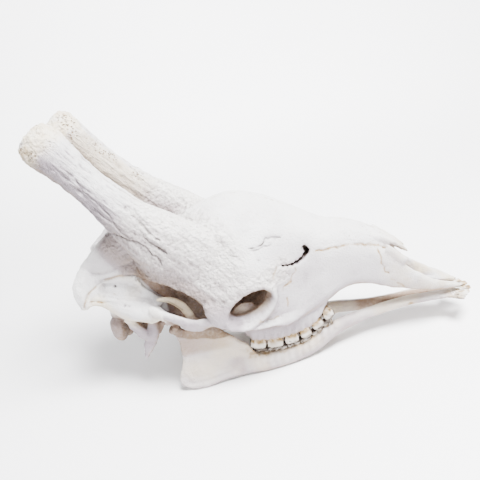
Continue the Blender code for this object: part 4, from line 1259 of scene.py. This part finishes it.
# The part of each noise that counts, and what it is laid out to.
PATCH_SPREAD = (0.35, 0.65, -0.12, 0.14)
SPECK_SPREAD = (0.3, 0.7, 0.7, 1.2)
PORE_SPREAD = (0.15, 0.42, 1.0, 0.0)
PORE_DARKNESS = 0.95
PIT_BUMP = 1.3
STRAND_BUMP = 2.2
BUMP_HEIGHT = 0.0028
SPECULAR = 0.3
# Each finish: its colour, its colour in painted shade and darker blotches, its roughness and its
# relief.
FINISHES = {
    # Bone dried and bleached outdoors: chalky, matt, with a faint cool cast.
    "sun_bleached_bone": ("#D8D7D6", "#93898F", 0.66, 1.0),
    # The same bone, denser and a little more polished along the jaw.
    "dense_jaw_bone": ("#CFCAC6", "#94898B", 0.58, 0.6),
    # Cheek and front teeth: glassy enamel with tartar at the necks.
    "tooth_enamel": ("#D6D1CA", "#A89D90", 0.38, 0.6),
}


def linear(colour):
    """An sRGB hex colour as linear red, green, blue and alpha."""
    code = colour.lstrip("#")
    parts = [int(code[i:i + 2], 16) / 255 for i in (0, 2, 4)]
    return (*[c / 12.92 if c <= 0.04045 else ((c + 0.055) / 1.055) ** 2.4 for c in parts], 1.0)


def new_material(name, specular):
    material = bpy.data.materials.new(name)
    material.use_nodes = True
    shader = material.node_tree.nodes["Principled BSDF"]
    shader.inputs["Specular IOR Level"].default_value = specular
    return material, material.node_tree, shader


def weathered(name, base, shade, roughness, bump):
    """Bone or enamel, tinted, darkened with painted shade and roughened by the stored patterns.
    """
    looks = bpy.context.scene.skull_looks
    material, tree, shader = new_material(name, SPECULAR)
    place = add_node(tree, "ShaderNodeTexCoord").outputs["Object"]
    layers = {layer: add_node(tree, "ShaderNodeAttribute", attribute_name=layer).outputs["Fac"]
              for layer in TINTS}
    # Blotches for the uneven bleaching, specks that break up each tint.
    patch = noise(tree, place, PATCH_SIZE, 3.0)
    speck = noise(tree, place, SPECK_SIZE, 4.0, 0.65)
    uneven = spread(tree, patch, *PATCH_SPREAD)
    # The shade layer, painted shade with random blotches added, mixes in the finish's shade
    # colour.
    shaded = maths(tree, "ADD", layers["shade"], uneven, clamp=True)
    colour = blend(tree, shaded, linear(base), linear(shade))
    broken = spread(tree, speck, *SPECK_SPREAD)
    # Cream and stain are the bone's own colours; the umber layer is painted shade, and the grime
    # layer is dirt and painted shade.
    for layer in ("cream", "umber", "stain", "grime"):
        share = maths(tree, "MULTIPLY", layers[layer], broken, clamp=True)
        colour = blend(tree, share, colour, linear(getattr(looks, layer)))
    # Open pores of the spongy bone, drawn coarser than real so they show.
    dots = spread(tree, cells(tree, place, PORE_SIZE), *PORE_SPREAD)
    dotted = maths(tree, "MULTIPLY", layers["porous"], dots, clamp=True)
    darker = maths(tree, "MULTIPLY", dotted, PORE_DARKNESS)
    colour = blend(tree, darker, colour, linear(looks.pore))
    # Bone grain everywhere, pits where muscle and skin held fast, and fibres that are six
    # times longer than wide along the horns.
    lengthwise = add_node(tree, "ShaderNodeMapping",
                          {"Vector": place, "Rotation": (0, HORN_LEAN, 0),
                           "Scale": STRAND_STRETCH}, vector_type="TEXTURE").outputs[0]
    pits = cells(tree, place, PIT_SIZE, "SMOOTH_F1")
    strands = noise(tree, lengthwise, STRAND_SIZE, 4.0, 0.65)
    height = noise(tree, place, GRAIN_SIZE, 5.0, 0.6)
    for pattern, amount in ((maths(tree, "MULTIPLY", layers["grit"], pits), PIT_BUMP),
                            (maths(tree, "MULTIPLY", layers["fibre"], strands), STRAND_BUMP),
                            (dotted, -PIT_BUMP)):
        height = maths(tree, "MULTIPLY_ADD", pattern, amount, height)
    relief = add_node(tree, "ShaderNodeBump",
                      {"Strength": bump, "Distance": BUMP_HEIGHT, "Height": height})
    rougher = spread(tree, speck, *SPECK_SPREAD[:2], roughness - 0.08, roughness + 0.1)
    for key, value in (("Base Color", colour), ("Roughness", rougher),
                       ("Normal", relief.outputs["Normal"])):
        tree.links.new(value, shader.inputs[key])
    return material


def finish_named(name):
    """The material of this name, made when it is first asked for."""
    return bpy.data.materials.get(name) or weathered(name, *FINISHES[name])


# Sizes and colours that a user may change


def value(kind, name, description, default, **limits):
    return kind(name=name, description=description, default=default, **limits)


class SkullSkin(bpy.types.PropertyGroup):
    grain: value(FloatProperty, "Grain", "Spacing of the skin before thinning", 0.0014,
                 min=0.0008, max=0.004, unit="LENGTH")
    smoothing: value(IntProperty, "Smoothing", "Rounds that take out the facets", 12,
                     min=0, max=60)
    relief: value(FloatProperty, "Relief", "Strength of all carved detail", 1.0,
                  min=0.0, max=3.0, subtype="FACTOR")
    triangles: value(IntProperty, "Triangles", "Most triangles of the cranium", 194000,
                     min=20000, max=199000)
    jaw_triangles: value(IntProperty, "Jaw triangles", "Most for half the jaw", 110000,
                         min=10000, max=199000)


class SkullTeeth(bpy.types.PropertyGroup):
    upper_crown: value(FloatProperty, "Upper crown", "Height of the upper crowns", 0.013,
                       unit="LENGTH")
    lower_crown: value(FloatProperty, "Lower crown", "Height of the lower crowns", 0.009,
                       unit="LENGTH")
    gap: value(FloatProperty, "Gap", "Share of each tooth's length left open", 0.015,
               min=0.0, max=0.3, subtype="FACTOR")
    wobble: value(FloatProperty, "Wobble", "Most that a tooth is turned askew",
                  math.radians(2.0), subtype="ANGLE")
    seed: value(IntProperty, "Seed", "Start of the random numbers", 7)


class SkullLooks(bpy.types.PropertyGroup):
    cream: value(StringProperty, "Cream", "Fatty bone", "#CFC1A6")
    # Colour of the painted shade in deep recesses, under the eave and the arch and in the orbit.
    umber: value(StringProperty, "Umber", "Unbleached hollows", "#85705F")
    stain: value(StringProperty, "Stain", "Tan stain", "#A08048")
    # Colour of the dirt in cracks and of the painted shade in hollows and between teeth.
    grime: value(StringProperty, "Grime", "Dirt in cracks", "#2E2118")
    pore: value(StringProperty, "Pore", "Open pores", "#7F5E38")


class SkullStage(bpy.types.PropertyGroup):
    floor_radius: value(FloatProperty, "Floor radius", "Reach of the floor", 5.0,
                        unit="LENGTH")
    key_power: value(FloatProperty, "Key light", "Power of the light overhead", 250.0,
                     unit="POWER")
    fill_power: value(FloatProperty, "Fill light", "Power of the light in front", 12.0,
                      unit="POWER")
    backdrop_power: value(FloatProperty, "Backdrop light", "Power on the backdrop", 640.0,
                          unit="POWER")
    fill_tint: value(FloatVectorProperty, "Fill tint", "Colour of the fill",
                     (1.0, 0.94, 0.97), subtype="COLOR")


# Pieces


def make_bone(name, nodes, cuts, limbs, relief, tints, triangles, grain, open_joins=None):
    """One bone from copies of its solids: cut, grown, skinned, carved and tinted."""
    skin = bpy.context.scene.skull_skin
    bone = copy_of(name, nodes)
    for rings in cuts:
        cut_away(bone, rings)
    grow(bone, limbs)
    if open_joins:
        open_joins(bone)
    one_skin(bone, grain * (1.0), skin.smoothing)
    carve(bone, relief)
    thin_out(bone, triangles)
    tint(bone, tints, ("face", "braincase") if "mandible" in name else ())
    return bone


# For the lower and the upper row: its line, the front end and half width of the cut, and
# which way it runs from the necks.
CROWN_CUTS = ((LOWER_ROW_OUT, 385, 12, 1), (UPPER_ROW_OUT, 412, 17, -1))
CUT_REAR, CUT_STEP = 222, 9
NECK_LEFT = 0.4  # how much of the solid crowns stays as a rim of the socket
CROWN_REACH = 40


def tooth_cut(side, upper):
    """Rings round the solid's own crowns, from their necks past the chewing line."""
    row_out, front, half, away = CROWN_CUTS[upper]
    rings = []
    for x in range(CUT_REAR, front, CUT_STEP):
        out = side * float(along_line(row_out, x))
        edge = float(margin_height(x, upper)) + away * NECK_LEFT
        if upper:
            # Ahead of the teeth it rises to the palate's own edge.
            edge = min(edge + max(x - 342, 0), 46 + 0.4 * (x - 369))
        far = edge + away * CROWN_REACH
        rings.append([(x, out - half, edge), (x, out + half, edge),
                      (x, out + half, far), (x, out - half, far)])
    return rings


def loop_at(side, out, lift, loop):
    """One ring of a cut made from the side: a loop of (x, z) points this far out."""
    return [(x, side * out, z + lift) for x, z in loop]


def open_saw_cuts(obj):
    """Takes out the flat faces that the solids have at their saw cuts, so that one skin
    runs over braincase, face and horns as over one grown bone."""
    points = read_points(obj.data)
    side = fold(points)
    foot, axis = np.array(HORN_SAW[0]), np.array(HORN_SAW[1])
    off_horn_saw = np.abs(np.abs((side - foot) @ axis) - HALF_SAW)
    at_horn = np.linalg.norm(side - foot, axis=1) < 60
    off_coronal_saw = np.abs(np.abs(points[:, 0] - CORONAL_SAW) - HALF_SAW)
    saws = [off_coronal_saw < 0.05, (off_horn_saw < 0.05) & at_horn]
    for saw in (NASAL_SAW, PREMAXILLA_SAW):
        saws.append(off_line(points * (1, 0, 1), saw, 20) < HALF_SAW + 0.06)
    with editing(obj.data) as shape:
        doomed = [f for f in shape.faces if abs(f.normal.y) < 0.3
                  and any(all(flat[v.index] for v in f.verts) for flat in saws)]
        bmesh.ops.delete(shape, geom=doomed, context="FACES")


class SKULL_OT_cranium(bpy.types.Operator):
    """Builds the whole upper skull as one grown-together skin with carved sutures"""
    bl_idname = "skull.cranium"
    bl_label = "Cranium"

    def execute(self, context):
        skin = context.scene.skull_skin
        nodes = ("braincase", "face", "ossicone_right", "ossicone_left", "nasal_bones",
                 "premaxilla_right", "premaxilla_left")
        cuts = [tooth_cut(side, True) for side in (-1, 1)]
        cuts += [[loop_at(side, *end) for end in cut]
                 for cut in SIDE_CUTS for side in (-1, 1)]
        limbs = [mirrored(path, side) for path in CRANIUM_LIMBS for side in (1, -1)]
        bone = make_bone("cranium", nodes, cuts, limbs, cranium_relief,
                         cranium_tints, skin.triangles, skin.grain, open_saw_cuts)
        dress(bone, finish_named("sun_bleached_bone"), "skull_bone", *nodes)
        return {"FINISHED"}


JAW_GRAIN = 0.9  # of the cranium's


class SKULL_OT_jaws(bpy.types.Operator):
    """Builds both halves of the lower jaw without their teeth"""
    bl_idname = "skull.jaws"
    bl_label = "Lower jaw"

    def execute(self, context):
        skin = context.scene.skull_skin
        for side, word in SIDES:
            node = "mandible_" + word
            crowns = [[(x, y, z) for y, z in INCISOR_SPACE] for x in INCISOR_REACH]
            cuts = (tooth_cut(side, False), crowns,
                    [loop_at(side, *end) for end in CORONOID_CUT])
            limbs = [mirrored(path, -side) for path in JAW_LIMBS]
            bone = make_bone(node + "_dressed", (node,), cuts, limbs, jaw_relief, jaw_tints,
                             skin.jaw_triangles, skin.grain * JAW_GRAIN)
            dress(bone, finish_named("dense_jaw_bone"), "jaw_bone", node)
        return {"FINISHED"}


class SKULL_OT_cheek_teeth(bpy.types.Operator):
    """Sets the four rows of cheek teeth along the chewing line"""
    bl_idname = "skull.cheek_teeth"
    bl_label = "Cheek teeth"

    def execute(self, context):
        crowns = bpy.data.collections.new("crowns")
        forms = [tooth_crown("crown_a_lower_molar", False, True),
                 tooth_crown("crown_b_upper_molar", True, True),
                 tooth_crown("crown_c_lower_premolar", False, False),
                 tooth_crown("crown_d_upper_premolar", True, False)]
        for form in forms:
            context.scene.collection.objects.unlink(form)
            crowns.objects.link(form)
        tree = tooth_row_tree()
        enamel = finish_named("tooth_enamel")
        for upper, sizes, row_out, slot in ((True, UPPER_TEETH, UPPER_ROW_OUT, "skull_bone"),
                                            (False, LOWER_TEETH, LOWER_ROW_OUT, "jaw_bone")):
            for side, word in SIDES:
                name = ("upper" if upper else "lower") + "_teeth_" + word
                row = tooth_row(name, sizes, row_out, side, upper, crowns, tree, enamel)
                carve(row, tooth_relief)
                tint(row, tooth_tints)
                dress(row, enamel, slot)
        for form in forms:
            bpy.data.objects.remove(form, do_unlink=True)
        bpy.data.collections.remove(crowns)
        return {"FINISHED"}


class SKULL_OT_incisors(bpy.types.Operator):
    """Fans the eight front teeth out from the tip of the jaw"""
    bl_idname = "skull.incisors"
    bl_label = "Front teeth"

    def execute(self, context):
        for side, word in SIDES:
            draw = np.random.default_rng(context.scene.skull_teeth.seed + side)
            shape = bmesh.new()
            for place in range(4):
                fan, x, out, reach = (first + step * place for first, step in INCISOR_FAN)
                fan = math.radians(fan)
                root = Vector((x, side * out, 0))
                tip = root + Vector((math.cos(fan) * reach, side * math.sin(fan) * reach,
                                     draw.uniform(*INCISOR_LIFT)))
                incisor(shape, root, tip, draw.uniform(*INCISOR_WIDTH), INCISOR_THICKNESS,
                        place + 5 * side + 9)
            shape.transform(at_rest())
            teeth = object_of(shape, "front_teeth_" + word)
            change(teeth, "SUBSURF", levels=1, render_levels=1)
            tint(teeth, front_tints)
            dress(teeth, finish_named("tooth_enamel"), "jaw_bone")
        return {"FINISHED"}


# The floor's profile: it lies flat and then sweeps up, so no horizon shows.
FLOOR_SWEEP = ((0.4, 0.0), (0.42, 0.0), (0.44, 0.0), (0.56, 0.012), (0.68, 0.045),
               (0.8, 0.11), (0.9, 0.2), (0.96, 0.32), (0.99, 0.46), (1.0, 0.6), (1.0, 0.9))
FLOOR_SIDES = 64
BOARD_COLOUR, BOARD_ROUGHNESS, BOARD_SPECULAR = "#F7F7F8", 0.9, 0.1
ROOM_COLOUR, ROOM_STRENGTH = (1.0, 0.99, 1.0, 1.0), 0.25
# The lights: place, what each is aimed at, width and the name of its power.
LIGHTS = (
    ("overhead", (0.45, -0.5, 1.85), (0, 0, 0.1), 0.7, "key_power"),
    ("front", (0.9, -1.9, 0.9), (0, 0, 0.1), 1.2, "fill_power"),
    ("backdrop", (0, 1.7, 2.8), (0, 5.2, 0.9), 2.6, "backdrop_power"),
)
# The camera, fitted to landmarks that were read off the photograph and to where the species
# has them, for a chosen distance; places in the skull's millimetres.
CAMERA_AZIMUTH = math.radians(0.318)
CAMERA_HEIGHT = math.radians(27.551)
CAMERA_ROLL = math.radians(8.618)
CAMERA_AIM = (270, 0, 110)
CAMERA_AWAY = 0.85  # metres
SENSOR_WIDTH = 36
PIXELS_A_MM = 0.59179
AIM_PIXEL = (264.709, 261.669)
FRAME_PIXELS = 480


class SKULL_OT_stage(bpy.types.Operator):
    """Lays the pale floor and sets the soft lights and the camera of the photograph"""
    bl_idname = "skull.stage"
    bl_label = "Stage"

    def execute(self, context):
        stage = context.scene.skull_stage
        shape = bmesh.new()
        reach = stage.floor_radius
        rows = [[shape.verts.new((share * reach * math.cos(turn),
                                  share * reach * math.sin(turn), height * reach))
                 for turn in np.linspace(0, 2 * math.pi, FLOOR_SIDES, endpoint=False)]
                for share, height in FLOOR_SWEEP]
        shape.faces.new(rows[0])
        join_rows(shape, rows[::-1])
        floor = object_of(shape, "floor")
        floor.data.shade_smooth()
        # Matt painted board: pale and even, so only the skull's shadow marks it.
        paint, _, shader = new_material("matt_white_board", BOARD_SPECULAR)
        shader.inputs["Base Color"].default_value = linear(BOARD_COLOUR)
        shader.inputs["Roughness"].default_value = BOARD_ROUGHNESS
        floor.data.materials.append(paint)
        world = bpy.data.worlds.new("soft_room")
        world.use_nodes = True
        sky = world.node_tree.nodes["Background"]
        sky.inputs["Color"].default_value = ROOM_COLOUR
        sky.inputs["Strength"].default_value = ROOM_STRENGTH
        context.scene.world = world
        tints = {"front": stage.fill_tint}
        for name, place, aim, width, power in LIGHTS:
            lamp = bpy.data.lights.new(name, "AREA")
            lamp.size = width
            lamp.energy = getattr(stage, power)
            lamp.color = tints.get(name, (1, 1, 1))
            heading = Vector(aim) - Vector(place)
            new_object(name, lamp).matrix_world = (
                Matrix.Translation(place)
                @ heading.to_track_quat("-Z", "Y").to_matrix().to_4x4())
        set_camera(context)
        return {"FINISHED"}


def set_camera(context):
    """The photograph's view, as fitted in the skull's own frame."""
    a, e, r = CAMERA_AZIMUTH, CAMERA_HEIGHT, CAMERA_ROLL
    back = Vector((math.sin(a) * math.cos(e), -math.cos(a) * math.cos(e), math.sin(e)))
    right = Vector((math.cos(a), math.sin(a), 0))
    up = back.cross(right)
    level = right * math.cos(r) - up * math.sin(r)
    upright = right * math.sin(r) + up * math.cos(r)
    view = Matrix((level, upright, back)).transposed().to_4x4()
    view.translation = Vector(CAMERA_AIM) * MM + back * CAMERA_AWAY
    lens = bpy.data.cameras.new("photo_view")
    lens.sensor_width = SENSOR_WIDTH
    lens.lens = PIXELS_A_MM * CAMERA_AWAY / MM / FRAME_PIXELS * SENSOR_WIDTH
    lens.shift_x = (FRAME_PIXELS / 2 - AIM_PIXEL[0]) / FRAME_PIXELS
    lens.shift_y = (AIM_PIXEL[1] - FRAME_PIXELS / 2) / FRAME_PIXELS
    lens.clip_end = 50
    camera = new_object("photo_view", lens)
    camera.matrix_world = at_rest() @ view
    context.scene.camera = camera


OPERATORS = (SKULL_OT_cranium, SKULL_OT_jaws, SKULL_OT_cheek_teeth,
             SKULL_OT_incisors, SKULL_OT_stage)
GROUPS = (("skull_skin", SkullSkin), ("skull_teeth", SkullTeeth),
          ("skull_looks", SkullLooks), ("skull_stage", SkullStage))


class SKULL_PT_pieces(bpy.types.Panel):
    bl_label = "Giraffe skull"
    bl_idname = "SKULL_PT_pieces"
    bl_space_type = "VIEW_3D"
    bl_region_type = "UI"
    bl_category = "Skull"

    def draw(self, context):
        for operator in OPERATORS:
            self.layout.operator(operator.bl_idname)
        for name, group in GROUPS:
            box = self.layout.box()
            for key in group.__annotations__:
                box.prop(getattr(context.scene, name), key)


def register():
    for name, group in GROUPS:
        bpy.utils.register_class(group)
        setattr(bpy.types.Scene, name, PointerProperty(type=group))
    for cls in (*OPERATORS, SKULL_PT_pieces):
        bpy.utils.register_class(cls)


def unregister():
    for cls in (SKULL_PT_pieces, *reversed(OPERATORS)):
        bpy.utils.unregister_class(cls)
    for name, group in reversed(GROUPS):
        delattr(bpy.types.Scene, name)
        bpy.utils.unregister_class(group)


def main():
    register()
    for operator in OPERATORS:
        package, name = operator.bl_idname.split(".")
        getattr(getattr(bpy.ops, package), name)()


if __name__ == "__main__":
    main()
